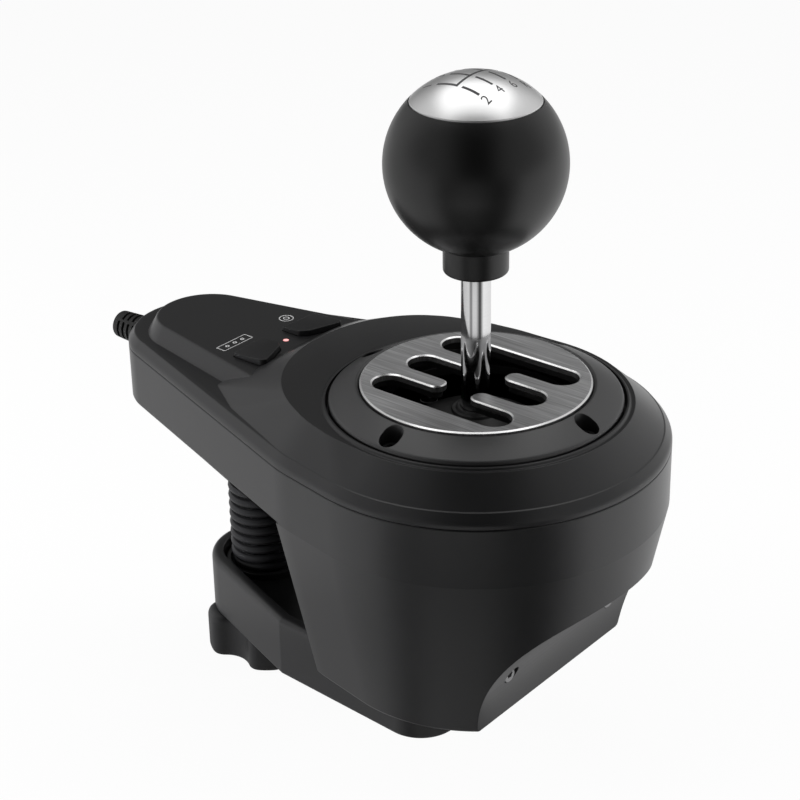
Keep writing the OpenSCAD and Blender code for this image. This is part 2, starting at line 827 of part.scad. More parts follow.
module shift_sensor() {
    face = ring_w / 2;
    color(deep_black) difference() {
        translate([face, -ring_sensor_w / 2, pivot_z - ring_sensor_w / 2])
            cube([ring_sensor_t, ring_sensor_w, ring_sensor_w]);
        along_x([face - over, 0, pivot_z]) cylinder(r = pin_r + run_fit, h = ring_sensor_t);
    }
}

module lever_block() {
    color(nylon) difference() {
        translate([-block_w / 2, -block_w / 2, pivot_z - block_down])
            cube([block_w, block_w, block_down + block_up]);
        translate([0, 0, pivot_z - block_down + block_floor])
            cylinder(r = rod_r + run_fit, h = block_down + block_up);
        // Slot for the cross pin, as long as its travel
        translate([-block_w, -cross_r - slip_fit, cross_z - press_travel - cross_r - slip_fit])
            cube([2 * block_w, 2 * (cross_r + slip_fit), press_travel + 2 * (cross_r + slip_fit)]);
        pair() along_x([block_w / 2 - pin_depth, 0, pivot_z]) cylinder(r = pin_r, h = block_w);
    }
}

module lever_pins() {
    start = block_w / 2 - pin_depth;
    color(steel) {
        along_x([start, 0, pivot_z])
            cylinder(r = pin_r, h = ring_w / 2 + ring_sensor_t - over - slip_fit - start);
        along_x([-ring_w / 2 + slip_fit, 0, pivot_z])
            cylinder(r = pin_r, h = ring_w / 2 - slip_fit - start);
    }
}

module dust_dome() {
    hole_r = rod_r + slip_fit;
    low_z = (dome_r - dome_t) * cos(dome_angle);
    color(deep_black) translate([0, 0, pivot_z]) difference() {
        union() {
            intersection() {
                difference() {
                    sphere(r = dome_r);
                    sphere(r = dome_r - dome_t);
                }
                translate([0, 0, low_z]) cylinder(r = dome_r, h = dome_r);
            }
            translate([0, 0, block_up]) cylinder(r = hub_r, h = dome_r + hub_up - block_up);
        }
        translate([0, 0, block_up - over]) cylinder(r = hole_r, h = dome_r);
    }
}

module reverse_switch() {
    top = cross_z - press_travel - cross_r - slip_fit;
    color(deep_black) translate([block_w / 2, -reverse_size[1] / 2, top - reverse_size[2]])
        cube(reverse_size);
}

module press_spring() {
    low = pivot_z - block_down + block_floor + seat_fit;
    path = coil_path(press_r, low, rod_foot_z - seat_fit, small_turns, small_wire);
    echo(press_spring_gap = coil_gap(path, small_wire));
    color(steel) coil(path, small_wire);
}

// Bush in the ball that the rod is screwed into
rod_top_z = ball_z - 8.4;
bush_floor = 2;
insert_low = collar_z + 1.8;
insert_high = rod_top_z + bush_floor;
bush_r = 7;

module shift_rod() {
    color(steel) difference() {
        translate([0, 0, rod_foot_z]) cylinder(r = rod_r, h = rod_top_z - rod_foot_z);
        along_x([-rod_r - over, 0, cross_z]) cylinder(r = cross_r, h = 2 * (rod_r + over));
    }
}

module cross_pin() {
    color(steel) along_x([-cross_l / 2, 0, cross_z]) cylinder(r = cross_r, h = cross_l);
}

module knob_insert() {
    color(brass) difference() {
        translate([0, 0, insert_low]) cylinder(r = bush_r, h = insert_high - insert_low);
        translate([0, 0, insert_low - over]) cylinder(r = rod_r, h = rod_top_z - insert_low + over);
    }
}

// Seat of the cap in the ball
cap_edge_z = ball_z + sqrt(ball_r * ball_r - cap_r * cap_r);
cap_t = 2.2;
cap_sink = 1.2;
cap_seat_z = cap_edge_z - cap_sink;
spigot_r = 5;
spigot_l = 5;
collar_top_z = ball_z - ball_r * 0.8;

module knob_ball() {
    color(deep_black) difference() {
        union() {
            translate([0, 0, ball_z]) sphere(r = ball_r);
            translate([0, 0, collar_z]) cylinder(r = collar_r, h = collar_top_z - collar_z);
        }
        translate([0, 0, cap_seat_z]) cylinder(r = cap_r, h = ball_r);
        translate([0, 0, cap_seat_z - spigot_l]) cylinder(r = spigot_r, h = spigot_l + over);
        translate([0, 0, insert_low]) cylinder(r = bush_r, h = insert_high - insert_low);
        translate([0, 0, collar_z - over])
            cylinder(r = rod_r + slip_fit, h = insert_low - collar_z + 2 * over);
    }
}

module knob_cap() {
    color(steel) {
        difference() {
            intersection() {
                translate([0, 0, ball_z]) sphere(r = ball_r);
                translate([0, 0, cap_seat_z]) cylinder(r = cap_r - slip_fit / 2, h = ball_r);
            }
            intersection() {
                translate([0, 0, ball_z]) sphere(r = ball_r - cap_t);
                translate([0, 0, cap_seat_z - over]) cylinder(r = cap_r - cap_t, h = ball_r);
            }
        }
        translate([0, 0, cap_seat_z - spigot_l + slip_fit])
            cylinder(r = spigot_r, h = ball_z + ball_r - cap_t - cap_seat_z + spigot_l);
    }
}

module button() {
    tilt = atan(button_up / (button_low_y - button_high_y));
    flange_top = panel_z - panel_t - slip_fit;
    stem_low = key_board_z + board_t + switch_h + switch_tip_h + button_travel + slip_fit;
    difference() {
        button_shape(0, flange_top - over / 2, panel_z + 2 * button_up);
        translate([0, button_low_y, panel_z]) rotate([-tilt, 0, 0])
            translate([-far / 2, -far / 2, 0]) cube([far, far, far]);
    }
    button_shape(button_flange, flange_top - button_flange_t, flange_top);
    translate([key_place[0], key_place[1], stem_low])
        cylinder(r = button_stem_r, h = flange_top - stem_low);
}

module button_right() {
    color(deep_black) button();
}

module button_left() {
    color(deep_black) mirror([1, 0, 0]) button();
}

module button_board() {
    color(board_green) difference() {
        translate([-key_board_half, key_board_y[0], key_board_z])
            cube([2 * key_board_half, key_board_y[1] - key_board_y[0], board_t]);
        posts(key_posts) translate([0, 0, key_board_z - over])
            cylinder(r = board_shank_r + slip_fit, h = board_t + 2 * over);
    }
}

module button_switches() {
    color(deep_black) posts([key_place]) translate([0, 0, key_board_z + board_t]) {
        translate([-switch_w / 2, -switch_w / 2, 0]) cube([switch_w, switch_w, switch_h]);
        cylinder(r = switch_tip_r, h = switch_h + switch_tip_h);
    }
}

module status_light() {
    color("white") translate([light_place[0], light_place[1], key_board_z + board_t])
        cylinder(r = light_r, h = panel_z - key_board_z - board_t);
}

module main_board() {
    color(board_green) difference() {
        translate([-board_half, board_y[0], board_z])
            cube([2 * board_half, board_y[1] - board_y[0], board_t]);
        posts(board_posts) translate([0, 0, board_z - over])
            cylinder(r = board_shank_r + slip_fit, h = board_t + 2 * over);
    }
}

// Small screw for a circuit board, standing on the head's seat
module board_screw() {
    cylinder(r = board_head_r, h = board_head_h);
    translate([0, 0, -board_screw_l]) cylinder(r = board_shank_r, h = board_screw_l + over);
}

module board_screws() {
    color(steel) {
        posts(board_posts) translate([0, 0, board_z + board_t]) board_screw();
        posts(key_posts) translate([0, 0, key_board_z]) rotate([180, 0, 0]) board_screw();
    }
}

module strain_relief() {
    inner_y = relief_seat_y - slip_fit;
    slot_step = relief_l / (relief_slots + 2);
    color(rubber) difference() {
        union() {
            along_y([0, tail_end_y, relief_z])
                cylinder(r1 = relief_root_r, r2 = relief_tip_r, h = relief_l);
            along_y([0, inner_y - over, relief_z])
                cylinder(r = relief_neck_r, h = tail_end_y - inner_y + 2 * over);
            along_y([0, inner_y - relief_flange_t, relief_z])
                cylinder(r = relief_flange_r, h = relief_flange_t);
        }
        along_y([0, inner_y - relief_l, relief_z]) cylinder(r = relief_bore_r, h = 3 * relief_l);
        // Slots that let it bend, in two staggered rows above and below and two at the sides
        for (i = [1 : relief_slots], row = [0, 1], side = [-1, 1])
            translate([0, tail_end_y + slot_step * (i + relief_row[row]), relief_z])
                rotate([0, 90 * row, 0]) translate([0, 0, side * relief_slot_up])
                    cube(relief_slot, center = true);
    }
}

module thread_insert() {
    color(brass) translate([0, screw_y, insert_z]) difference() {
        cylinder(r = insert_r, h = insert_h);
        translate([0, 0, -over]) cylinder(r = screw_r + run_fit, h = insert_h + 2 * over);
    }
}

module clamp_spring() {
    low = jaw_floor_z + seat_fit;
    path = coil_path(spring_r - wire_d / 2, low, tail_z - seat_fit, spring_turns, wire_d);
    echo(clamp_spring_gap = coil_gap(path, wire_d));
    color(deep_black) translate([0, screw_y, 0]) coil(path, wire_d);
}

// Circles that give the jaw's outline
jaw_circles = [
    [0, screw_y, jaw_end_r],
    [jaw_corner[0], jaw_corner[1], jaw_corner_r], [-jaw_corner[0], jaw_corner[1], jaw_corner_r],
    [jaw_front[0], jaw_front[1], jaw_front_r], [-jaw_front[0], jaw_front[1], jaw_front_r]
];

module clamp_jaw() {
    pad_seat_z = jaw_foot_z - jaw_pad_t;
    color(shell_black) difference() {
        union() {
            difference() {
                slab(jaw_circles, 0, jaw_bottom_z, jaw_rim_z);
                // Low foot under the desk
                translate([-far / 2, jaw_step_y - far, jaw_foot_z]) cube([far, far, far]);
                // Sunk top of the arm and seat of the foot's pad
                intersection() {
                    slab(jaw_circles, jaw_rim, pad_seat_z, jaw_rim_z + over);
                    union() {
                        translate([-far / 2, jaw_step_y + jaw_rim, jaw_floor_z]) cube([far, far, far]);
                        translate([-far / 2, jaw_step_y - jaw_rim - far, pad_seat_z]) cube([far, far, far]);
                    }
                }
            }
            translate([0, screw_y, jaw_floor_z - over]) difference() {
                cylinder(r = pocket_r + jaw_collar_t, h = jaw_collar_h + over);
                translate([0, 0, over]) cylinder(r = pocket_r, h = far);
            }
        }
        translate([0, screw_y, jaw_bottom_z - over]) {
            cylinder(r = jaw_bore_r, h = far);
            cylinder(r = washer_r + slip_fit, h = washer_t + over - hand_gap);
        }
    }
}

module jaw_pad() {
    color(rubber) intersection() {
        slab(jaw_circles, jaw_rim + slip_fit, jaw_foot_z - jaw_pad_t, jaw_foot_z);
        translate([-far / 2, jaw_step_y - jaw_rim - slip_fit - far, -far / 2]) cube([far, far, far]);
    }
}

module thrust_washer() {
    color(steel) translate([0, screw_y, jaw_bottom_z - hand_gap]) difference() {
        cylinder(r = washer_r, h = washer_t);
        translate([0, 0, -over]) cylinder(r = jaw_bore_r, h = washer_t + 2 * over);
    }
}

module clamp_screw() {
    foot_z = hand_top_z - hand_h + hand_floor;
    color(steel) translate([0, screw_y, foot_z]) cylinder(r = screw_r, h = screw_top_z - foot_z);
}

module clamp_knob() {
    foot_z = hand_top_z - hand_h;
    flute_y = hand_flute_r + hand_flute;
    color(shell_black) translate([0, screw_y, foot_z]) difference() {
        rotate_extrude() polygon([
            [0, 0], [hand_r - hand_round, 0], [hand_r, hand_round],
            [hand_r, hand_h - hand_round], [hand_r - hand_round, hand_h], [0, hand_h]
        ]);
        for (k = [0 : hand_lobes - 1]) rotate(hand_turn + (k + 0.5) * 360 / hand_lobes)
            translate([flute_y, 0, -over]) cylinder(r = hand_flute, h = hand_h + 2 * over);
        translate([0, 0, hand_floor]) cylinder(r = screw_r, h = hand_h);
    }
}

lower_housing();
upper_cover();
gate_bezel();
gate_plate();
gate_guide();
bezel_screws();
base_plate();
base_pad();
base_screws();
front_screws();
cover_screws();
gimbal_stand();
stand_screws();
select_sensor();
centring_springs();
gimbal_ring();
gimbal_pins();
shift_sensor();
lever_block();
lever_pins();
dust_dome();
reverse_switch();
press_spring();
shift_rod();
cross_pin();
knob_insert();
knob_ball();
knob_cap();
button_left();
button_right();
button_board();
button_switches();
status_light();
main_board();
board_screws();
strain_relief();
thread_insert();
clamp_spring();
clamp_jaw();
jaw_pad();
thrust_washer();
clamp_screw();
clamp_knob();
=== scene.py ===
"""Looks of a desk-clamped gear shifter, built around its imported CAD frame. Sizes are in millimetres."""

import math

import bmesh
import bpy
from mathutils import Matrix, Quaternion, Vector


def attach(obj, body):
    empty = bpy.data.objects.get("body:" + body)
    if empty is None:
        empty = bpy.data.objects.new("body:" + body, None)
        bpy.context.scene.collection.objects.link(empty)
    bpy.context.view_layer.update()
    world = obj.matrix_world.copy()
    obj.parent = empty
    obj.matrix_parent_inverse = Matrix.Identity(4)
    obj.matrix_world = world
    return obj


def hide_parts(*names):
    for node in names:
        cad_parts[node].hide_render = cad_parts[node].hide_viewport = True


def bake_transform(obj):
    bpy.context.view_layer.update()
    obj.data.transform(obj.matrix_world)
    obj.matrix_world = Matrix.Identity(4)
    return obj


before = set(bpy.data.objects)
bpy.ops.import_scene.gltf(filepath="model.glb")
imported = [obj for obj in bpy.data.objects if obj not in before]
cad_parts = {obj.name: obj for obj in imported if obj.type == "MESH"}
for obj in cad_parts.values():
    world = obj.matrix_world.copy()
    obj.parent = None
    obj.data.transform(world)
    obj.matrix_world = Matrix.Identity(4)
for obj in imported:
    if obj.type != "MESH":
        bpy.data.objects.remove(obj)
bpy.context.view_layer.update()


# Lower housing: the tub that stands on the desk and the tail behind it, one moulding of black ABS with
# a fine spark-eroded grain. The wall is upright down to the tail's level and draws in below it, and a
# hollow in front leaves room for the driver's knees. Two screws in that hollow hold the base plate.
SIDES = (-1, 1)
BACK_Y = 17.7
BODY = [(0.0, 0.0, 59.7), (0.0, BACK_Y, 56.5)]
OUTLINE = BODY + [(0.0, 116.4, 24.5)]
RIM = 240
TAIL_Z, UPRIGHT_Z = 58.0, 70.0
TUB_DRAW = 11.8
REAR_Y, REAR_LEAN = 35.0, 4.9
REAR_STEP = 12
PART_Z, PART_GAP = 77.0, 0.06
SHELL_T = 2.4
KNEE_Y, KNEE_Z, KNEE_R, KNEE_SIDES = -81.9, -4.7, 52.8, 128
FRONT_SCREW, FRONT_HOLE_Y = (26.6, 16.7), -33.0
COVER_SCREWS = [(36.0, 47.0), (9.0, 118.0)]
HEAD_HOLE_R, HEAD_HOLE_TOP = 3.0, 66.0
CLAMP_Y = 91.0
BOSS_R, BOSS_LOW, SOCKET_R, SOCKET_TOP, INSERT_R = 8.0, 50.0, 10.0, 70.0, 5.2
BOOT_Y, BOOT_Z, BOOT_HOLE_R = 140.9, 71.8, 4.1
FAR = 200.0


class Shade:
    """A shader socket that Python's operators work on, in one material's node tree."""

    def __init__(self, tree, socket=None):
        self.tree = tree
        self.socket = socket

    def link(self, target, value):
        if isinstance(value, Shade):
            self.tree.links.new(value.socket, target)
        else:
            target.default_value = value

    def node(self, kind, settings=None, inputs=None, out=0):
        """Any node: its settings come first, then the values or links of its sockets."""
        made = self.tree.nodes.new(kind)
        for key, value in (settings or {}).items():
            if key == "stops":
                ramp = made.color_ramp.elements
                while len(ramp) < len(value):
                    ramp.new(0.5)
                for stop, (place, colour) in zip(ramp, value):
                    stop.position = place
                    stop.color = colour
            else:
                setattr(made, key, value)
        for key, value in (inputs or {}).items():
            self.link(made.inputs[key], value)
        return Shade(self.tree, made.outputs[out])

    def math(self, operation, first, second):
        return self.node("ShaderNodeMath", {"operation": operation}, {0: first, 1: second})

    def __add__(self, other):
        return self.math("ADD", self, other)

    def __radd__(self, other):
        return self.math("ADD", other, self)

    def __sub__(self, other):
        return self.math("SUBTRACT", self, other)

    def __rsub__(self, other):
        return self.math("SUBTRACT", other, self)

    def __mul__(self, other):
        return self.math("MULTIPLY", self, other)

    def __rmul__(self, other):
        return self.math("MULTIPLY", other, self)


def new_finish(name, **sockets):
    """A material with its uniform values set, its node tree to build on, and its shader."""
    material = bpy.data.materials.new(name)
    material.use_nodes = True
    shader = material.node_tree.nodes["Principled BSDF"]
    for key, value in sockets.items():
        shader.inputs[key.replace("_", " ")].default_value = value
    return material, Shade(material.node_tree), shader


def between(shade, factor, low, high):
    """A colour that a factor takes from one tone to another."""
    ends = {"Factor": factor, "A": (*low, 1.0), "B": (*high, 1.0)}
    return shade.node("ShaderNodeMix", {"data_type": "RGBA"}, ends, out="Result")


def grained(name, low, high, rough, scale, depth, edge=0.0, **sockets):
    """A moulded or cast surface: two tones in soft patches, a fine grain, and edges eased for the light."""
    material, shade, shader = new_finish(name, **sockets)
    place = shade.node("ShaderNodeTexCoord", out="Object")
    grain = shade.node("ShaderNodeTexNoise", None, {"Vector": place, "Scale": scale, "Detail": 3.0})
    patch = shade.node("ShaderNodeTexNoise", None, {"Vector": place, "Scale": scale / 60, "Detail": 2.0})
    shade.link(shader.inputs["Base Color"], between(shade, patch * 0.6 + grain * 0.4, low, high))
    shade.link(shader.inputs["Roughness"], rough - 0.05 + patch * 0.06 + grain * 0.04)
    bump = {"Strength": 0.5, "Distance": depth, "Height": grain}
    if edge:
        bump["Normal"] = shade.node("ShaderNodeBevel", {"samples": 4}, {"Radius": edge})
    shade.link(shader.inputs["Normal"], shade.node("ShaderNodeBump", None, bump))
    return material


def rim_point(circles, step, inset):
    """The point of the hull of some circles whose outward direction is the given step round it."""
    turn = 2 * math.pi * step / RIM
    ahead = Vector((math.cos(turn), math.sin(turn)))
    x, y, r = max(circles, key=lambda c: c[0] * ahead.x + c[1] * ahead.y + c[2])
    return Vector((x, y)) + ahead * (r - inset)


def drawn_out(bm, edges):
    """Extrudes a loop of edges and gives the vertices and edges of the new loop."""
    new = bmesh.ops.extrude_edge_only(bm, edges=edges)["geom"]
    verts = [g for g in new if isinstance(g, bmesh.types.BMVert)]
    fresh = set(verts)
    return verts, [g for g in new if isinstance(g, bmesh.types.BMEdge) and fresh.issuperset(g.verts)]


def skin(levels, place):
    """A closed skin that rises through levels; place gives the plan point of a step at a level."""
    bm = bmesh.new()
    number = bm.verts.layers.int.new("step")
    ring = bmesh.ops.create_circle(bm, segments=RIM, radius=1.0)["verts"]
    for step, vert in enumerate(ring):
        vert[number] = step
    edges = bm.edges[:]
    foot = edges
    for level in levels:
        if level is not levels[0]:
            ring, edges = drawn_out(bm, edges)
        for vert in ring:
            point = place(vert[number], level)
            vert.co = (point.x, point.y, level[0])
    bmesh.ops.edgeloop_fill(bm, edges=foot)
    bmesh.ops.edgeloop_fill(bm, edges=edges)
    return tidy(bm)


def tidy(bm):
    """Merges doubles and turns the faces outwards."""
    bmesh.ops.remove_doubles(bm, verts=bm.verts, dist=1e-3)
    bmesh.ops.dissolve_degenerate(bm, edges=bm.edges, dist=1e-4)
    bmesh.ops.recalc_face_normals(bm, faces=bm.faces)
    if bm.calc_volume(signed=True) < 0:
        bmesh.ops.reverse_faces(bm, faces=bm.faces)
    return bm


def rod(r, low, high, place=(0.0, 0.0), sides=64, tip=None):
    """An upright round bar, with another radius at its top where one is given."""
    bm = bmesh.new()
    bmesh.ops.create_cone(
        bm, cap_ends=True, segments=sides, radius1=r, radius2=r if tip is None else tip, depth=high - low
    )
    bmesh.ops.translate(bm, vec=(*place, (low + high) / 2), verts=bm.verts)
    return bm


def lying_x(bm, at):
    """Lays a shape that stands on Z along X."""
    bmesh.ops.rotate(bm, matrix=Matrix.Rotation(math.pi / 2, 3, "Y"), verts=bm.verts)
    bmesh.ops.translate(bm, vec=at, verts=bm.verts)
    return bm


def lying_y(bm, at):
    """Lays a shape that stands on Z along Y, its top towards the tail."""
    bmesh.ops.rotate(bm, matrix=Matrix.Rotation(-math.pi / 2, 3, "X"), verts=bm.verts)
    bmesh.ops.translate(bm, vec=at, verts=bm.verts)
    return bm


def gather(shapes):
    """Several shapes that don't touch, as one."""
    whole = bmesh.new()
    for shape in shapes:
        mesh = bpy.data.meshes.new("part")
        shape.to_mesh(mesh)
        shape.free()
        whole.from_mesh(mesh)
        bpy.data.meshes.remove(mesh)
    return whole


def carve(bm, tool, operation="DIFFERENCE"):
    """Cuts a shape out of another, or joins it on, and gives the first back."""
    made = []
    for shape in (bm, tool):
        mesh = bpy.data.meshes.new("carving")
        shape.to_mesh(mesh)
        made.append(bpy.data.objects.new("carving", mesh))
        bpy.context.scene.collection.objects.link(made[-1])
    work = made[0].modifiers.new("carve", "BOOLEAN")
    work.object = made[1]
    work.operation = operation
    work.solver = "EXACT"
    done = bpy.data.meshes.new_from_object(made[0].evaluated_get(bpy.context.evaluated_depsgraph_get()))
    bm.clear()
    bm.from_mesh(done)
    tool.free()
    for obj in made:
        mesh = obj.data
        bpy.data.objects.remove(obj)
        bpy.data.meshes.remove(mesh)
    bpy.data.meshes.remove(done)
    return bm


def piece(name, bm, finish, slot, body, *nodes, sharp=30.0):
    """Makes a shape a piece of the object, in metres, that rides on a body and stands for CAD nodes."""
    bmesh.ops.scale(bm, vec=(0.001, 0.001, 0.001), verts=bm.verts)
    mesh = bpy.data.meshes.new(name)
    bm.to_mesh(mesh)
    bm.free()
    mesh.shade_smooth()
    mesh.set_sharp_from_angle(angle=math.radians(sharp))
    for material in finish if isinstance(finish, list) else [finish]:
        mesh.materials.append(material)
    obj = bpy.data.objects.new(name, mesh)
    bpy.context.scene.collection.objects.link(obj)
    if body:
        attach(obj, body)
    if nodes:
        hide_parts(*nodes)
    return obj


def housing_place(step, level):
    """Plan point of the housing: the tub below the tail's level, the whole outline above it."""
    z, inset, tub = level
    behind = REAR_STEP <= step <= RIM // 2 - REAR_STEP
    if not tub:
        return rim_point(OUTLINE, step, inset if behind or z > UPRIGHT_Z else 0.0)
    draw = TUB_DRAW * (TAIL_Z - z) / TAIL_Z + inset
    rear = REAR_Y - REAR_LEAN * (TAIL_Z - z) / TAIL_Z - inset
    point = rim_point(BODY, step, draw)
    x, y, r = BODY[1]
    corner = math.sqrt((r - draw) ** 2 - (rear - y) ** 2)
    if behind:
        share = (step - REAR_STEP) / (RIM // 2 - 2 * REAR_STEP)
        return Vector((corner * (1 - 2 * share), rear))
    return Vector((math.copysign(corner, point.x), rear)) if point.y > rear else point


def on_hull(circles):
    """Places the steps of a skin on a hull of circles, drawn in by the level's second value."""
    return lambda step, level: rim_point(level[2] if len(level) > 2 else circles, step, level[1])


shell_plastic = grained(
    "shell_plastic",
    (0.010, 0.010, 0.0105),
    (0.014, 0.014, 0.0145),
    0.3,
    3200.0,
    0.00002,
    0.0004,
    Specular_IOR_Level=0.5,
)
housing_top = PART_Z - PART_GAP / 2
tub = skin(
    [
        (0.0, 0.9, True),
        (0.27, 0.27, True),
        (0.9, 0.0, True),
        (30.0, 0.0, True),
        (TAIL_Z, 0.0, True),
        (TAIL_Z, 0.7, False),
        (TAIL_Z + 0.2, 0.2, False),
        (TAIL_Z + 0.7, 0.0, False),
        (housing_top - 0.3, 0.0, False),
        (housing_top, 0.3, False),
    ],
    housing_place,
)
carve(tub, lying_x(rod(KNEE_R, -FAR / 2, FAR / 2, sides=KNEE_SIDES), (0.0, KNEE_Y, KNEE_Z)))
hollow = skin(
    [(-1.0, SHELL_T, True), (30.0, SHELL_T, True), (TAIL_Z + SHELL_T + 1.0, SHELL_T, True)],
    housing_place,
)
carve(hollow, lying_x(rod(KNEE_R + SHELL_T, -FAR / 2, FAR / 2, sides=KNEE_SIDES), (0.0, KNEE_Y, KNEE_Z)))
carve(tub, hollow)
carve(tub, skin([(TAIL_Z + SHELL_T, SHELL_T), (PART_Z + 1.0, SHELL_T)], on_hull(OUTLINE)))
carve(tub, rod(BOSS_R, BOSS_LOW, TAIL_Z + 1.0, (0.0, CLAMP_Y)), "UNION")
carve(tub, rod(SOCKET_R, TAIL_Z + 0.5, SOCKET_TOP, (0.0, CLAMP_Y)), "UNION")
drills = [rod(INSERT_R, BOSS_LOW - 1.0, SOCKET_TOP + 1.0, (0.0, CLAMP_Y))]
for side in SIDES:
    drills += [rod(HEAD_HOLE_R, TAIL_Z - 1, HEAD_HOLE_TOP, (side * x, y)) for x, y in COVER_SCREWS]
for side in SIDES:
    front_hole = (side * FRONT_SCREW[0], FRONT_HOLE_Y, FRONT_SCREW[1])
    drills.append(lying_y(rod(HEAD_HOLE_R, -5.0, 8.0), front_hole))
drills.append(lying_y(rod(BOOT_HOLE_R, -4.0, 3.0), (0.0, BOOT_Y, BOOT_Z)))
carve(tub, gather(drills))
piece("housing_shell", tub, shell_plastic, "shell", "housing", "lower_housing", sharp=9.0)


# Upper cover: the top shell of the same grained ABS. A rolled skirt runs round the parting line, a
# shoulder climbs from it to the crest round the gate, and the tail carries a raised tier with the
# holes of two buttons and a light. Screws from below hold it to the housing.
LEDGE_Z, LEDGE_IN = 81.6, 2.2
SHOULDER_TIPS = [(side * x, y, r) for side in SIDES for x, y, r in ((37.6, 65.4, 2.0), (29.5, 80.2, 1.0))]
SHOULDER_FOOT = [(0.0, 0.0, 57.5), (0.0, BACK_Y, 54.3)] + SHOULDER_TIPS
SHOULDER_HEAD = [(0.0, 0.0, 44.18), (0.0, BACK_Y, 43.47)]
SHOULDER_TOP = 93.0
PANEL_Z, PANEL_SINK = 87.0, 81.2
PANEL = [(0.0, 113.0, 16.8), (24.5, 50.0, 6.0), (-24.5, 50.0, 6.0)]
TIER_OUT = 3.4
STEP_R, STEP_TOP_R, STEP_HALF, CREST_Z = 53.5, 44.2, 24.0, 92.2
SEAT_Z, SEAT_LOW, RECESS_R, OPENING_R = 85.4, 82.4, 45.8, 31.5
BUTTON = [(4.9, 83.5), (4.9, 76.3), (7.2, 73.6), (18.2, 69.4), (19.5, 70.9), (19.5, 82.5)]
BUTTON_GAP = 0.4
LIGHT, LIGHT_R = (0.0, 77.5), 0.95
SCREW_R, PILOT_R = 40.5, 1.5
QUARTERS = [(math.cos(a), math.sin(a)) for a in (0, math.pi / 2, math.pi, -math.pi / 2)]
HOLE_LOW, HOLE_TOP, ABOVE = 80.0, 90.0, 130.0
ROUND = 192


def eased(points, steps=4, closed=False):
    """A line whose corners are rounded; each point is x, y and how far from the corner the curve starts."""
    count = len(points)
    line = []
    for i, (x, y, ease) in enumerate(points):
        here = Vector((x, y))
        if ease == 0 or (not closed and i in (0, count - 1)):
            line.append(here)
            continue
        before = here + (Vector(points[i - 1][:2]) - here).normalized() * ease
        after = here + (Vector(points[(i + 1) % count][:2]) - here).normalized() * ease
        for k in range(steps + 1):
            t = k / steps
            line.append(before * (1 - t) ** 2 + here * 2 * t * (1 - t) + after * t * t)
    return line


def rounded_levels(points, steps):
    """The levels of a skin from a profile of inset, height and easing."""
    return [(p.y, p.x) for p in eased(points, steps)]


def spun(profile, steps, closed=False):
    """A solid of revolution about the lever's axis from points of radius and height."""
    bm = bmesh.new()
    verts = [bm.verts.new((p[0], 0.0, p[1])) for p in profile]
    edges = [bm.edges.new(two) for two in zip(verts, verts[1:])]
    if closed:
        edges.append(bm.edges.new((verts[-1], verts[0])))
    bmesh.ops.spin(
        bm,
        geom=verts + edges,
        cent=(0.0, 0.0, 0.0),
        axis=(0.0, 0.0, 1.0),
        dvec=(0.0, 0.0, 0.0),
        angle=2 * math.pi,
        steps=steps,
        use_merge=True,
        use_duplicate=False,
    )
    return tidy(bm)


def prism(outline, low, high):
    """An upright prism on a plan outline."""
    bm = bmesh.new()
    verts = [bm.verts.new((p[0], p[1], low)) for p in outline]
    face = bm.faces.new(verts)
    top = bmesh.ops.extrude_face_region(bm, geom=[face])["geom"]
    bmesh.ops.translate(
        bm, vec=(0.0, 0.0, high - low), verts=[g for g in top if isinstance(g, bmesh.types.BMVert)]
    )
    return tidy(bm)


def block(low, high):
    """A plain box between two corners, for cutting."""
    low, high = Vector(low), Vector(high)
    bm = bmesh.new()
    bmesh.ops.create_cube(bm, size=1.0)
    bmesh.ops.scale(bm, vec=high - low, verts=bm.verts)
    bmesh.ops.translate(bm, vec=(low + high) / 2, verts=bm.verts)
    return bm


def mirrored(outline):
    """An outline on the other side of the middle plane."""
    return [(-x, y) for x, y in reversed(outline)]


cover_foot = PART_Z + PART_GAP / 2
lip = [
    (0.3, cover_foot, 0),
    (0.0, cover_foot + 0.3, 0),
    (0.0, 78.7, 1.1),
    (2.25, 81.5, 0.2),
    (LEDGE_IN + 0.7, LEDGE_Z, 0),
    (4.5, LEDGE_Z, 0),
]
cover = skin(rounded_levels(lip, 8), on_hull(OUTLINE))
shoulder = skin([(PANEL_SINK, 0.0, SHOULDER_FOOT), (SHOULDER_TOP, 0.0, SHOULDER_HEAD)], on_hull(BODY))
carve(cover, shoulder, "UNION")
tier = [(-TIER_OUT, PANEL_SINK, 0), (0.0, PANEL_Z, 0.7), (3.0, PANEL_Z, 0)]
carve(cover, skin(rounded_levels(tier, 5), on_hull(PANEL)), "UNION")
slope = (STEP_R - STEP_TOP_R) / (CREST_Z - PANEL_Z)
ramp_top_r = STEP_TOP_R - slope * (SHOULDER_TOP - CREST_Z)
ramp = rod(STEP_R + slope, PANEL_Z - 1, SHOULDER_TOP, (0.0, BACK_Y), ROUND, ramp_top_r)
carve(ramp, block((-STEP_HALF, 40.0, 60.0), (STEP_HALF, FAR, 120.0)), "INTERSECT")
carve(cover, ramp, "UNION")
dish = [
    (0.0, 90.0, 0),
    (46.5, 90.0, 0.3),
    (47.0, 89.2, 0.25),
    (147.0, 109.2, 0),
    (147.0, ABOVE, 0),
    (0.0, ABOVE, 0),
]
carve(cover, spun(eased(dish, 3), ROUND))
carve(cover, rod(RECESS_R, SEAT_Z, ABOVE, sides=ROUND))
carve(cover, skin([(cover_foot - 1, SHELL_T), (78.5, SHELL_T)], on_hull(OUTLINE)))
carve(cover, skin([(cover_foot - 1, 2.6), (79.0, 5.2), (SEAT_LOW, 7.8)], on_hull(BODY)))
carve(cover, skin([(cover_foot - 1, -2.1), (84.4, 2.8)], on_hull(PANEL)))
button_hole = [tuple(p) for p in eased([(x, y, 0.6) for x, y in BUTTON], 3, True)]


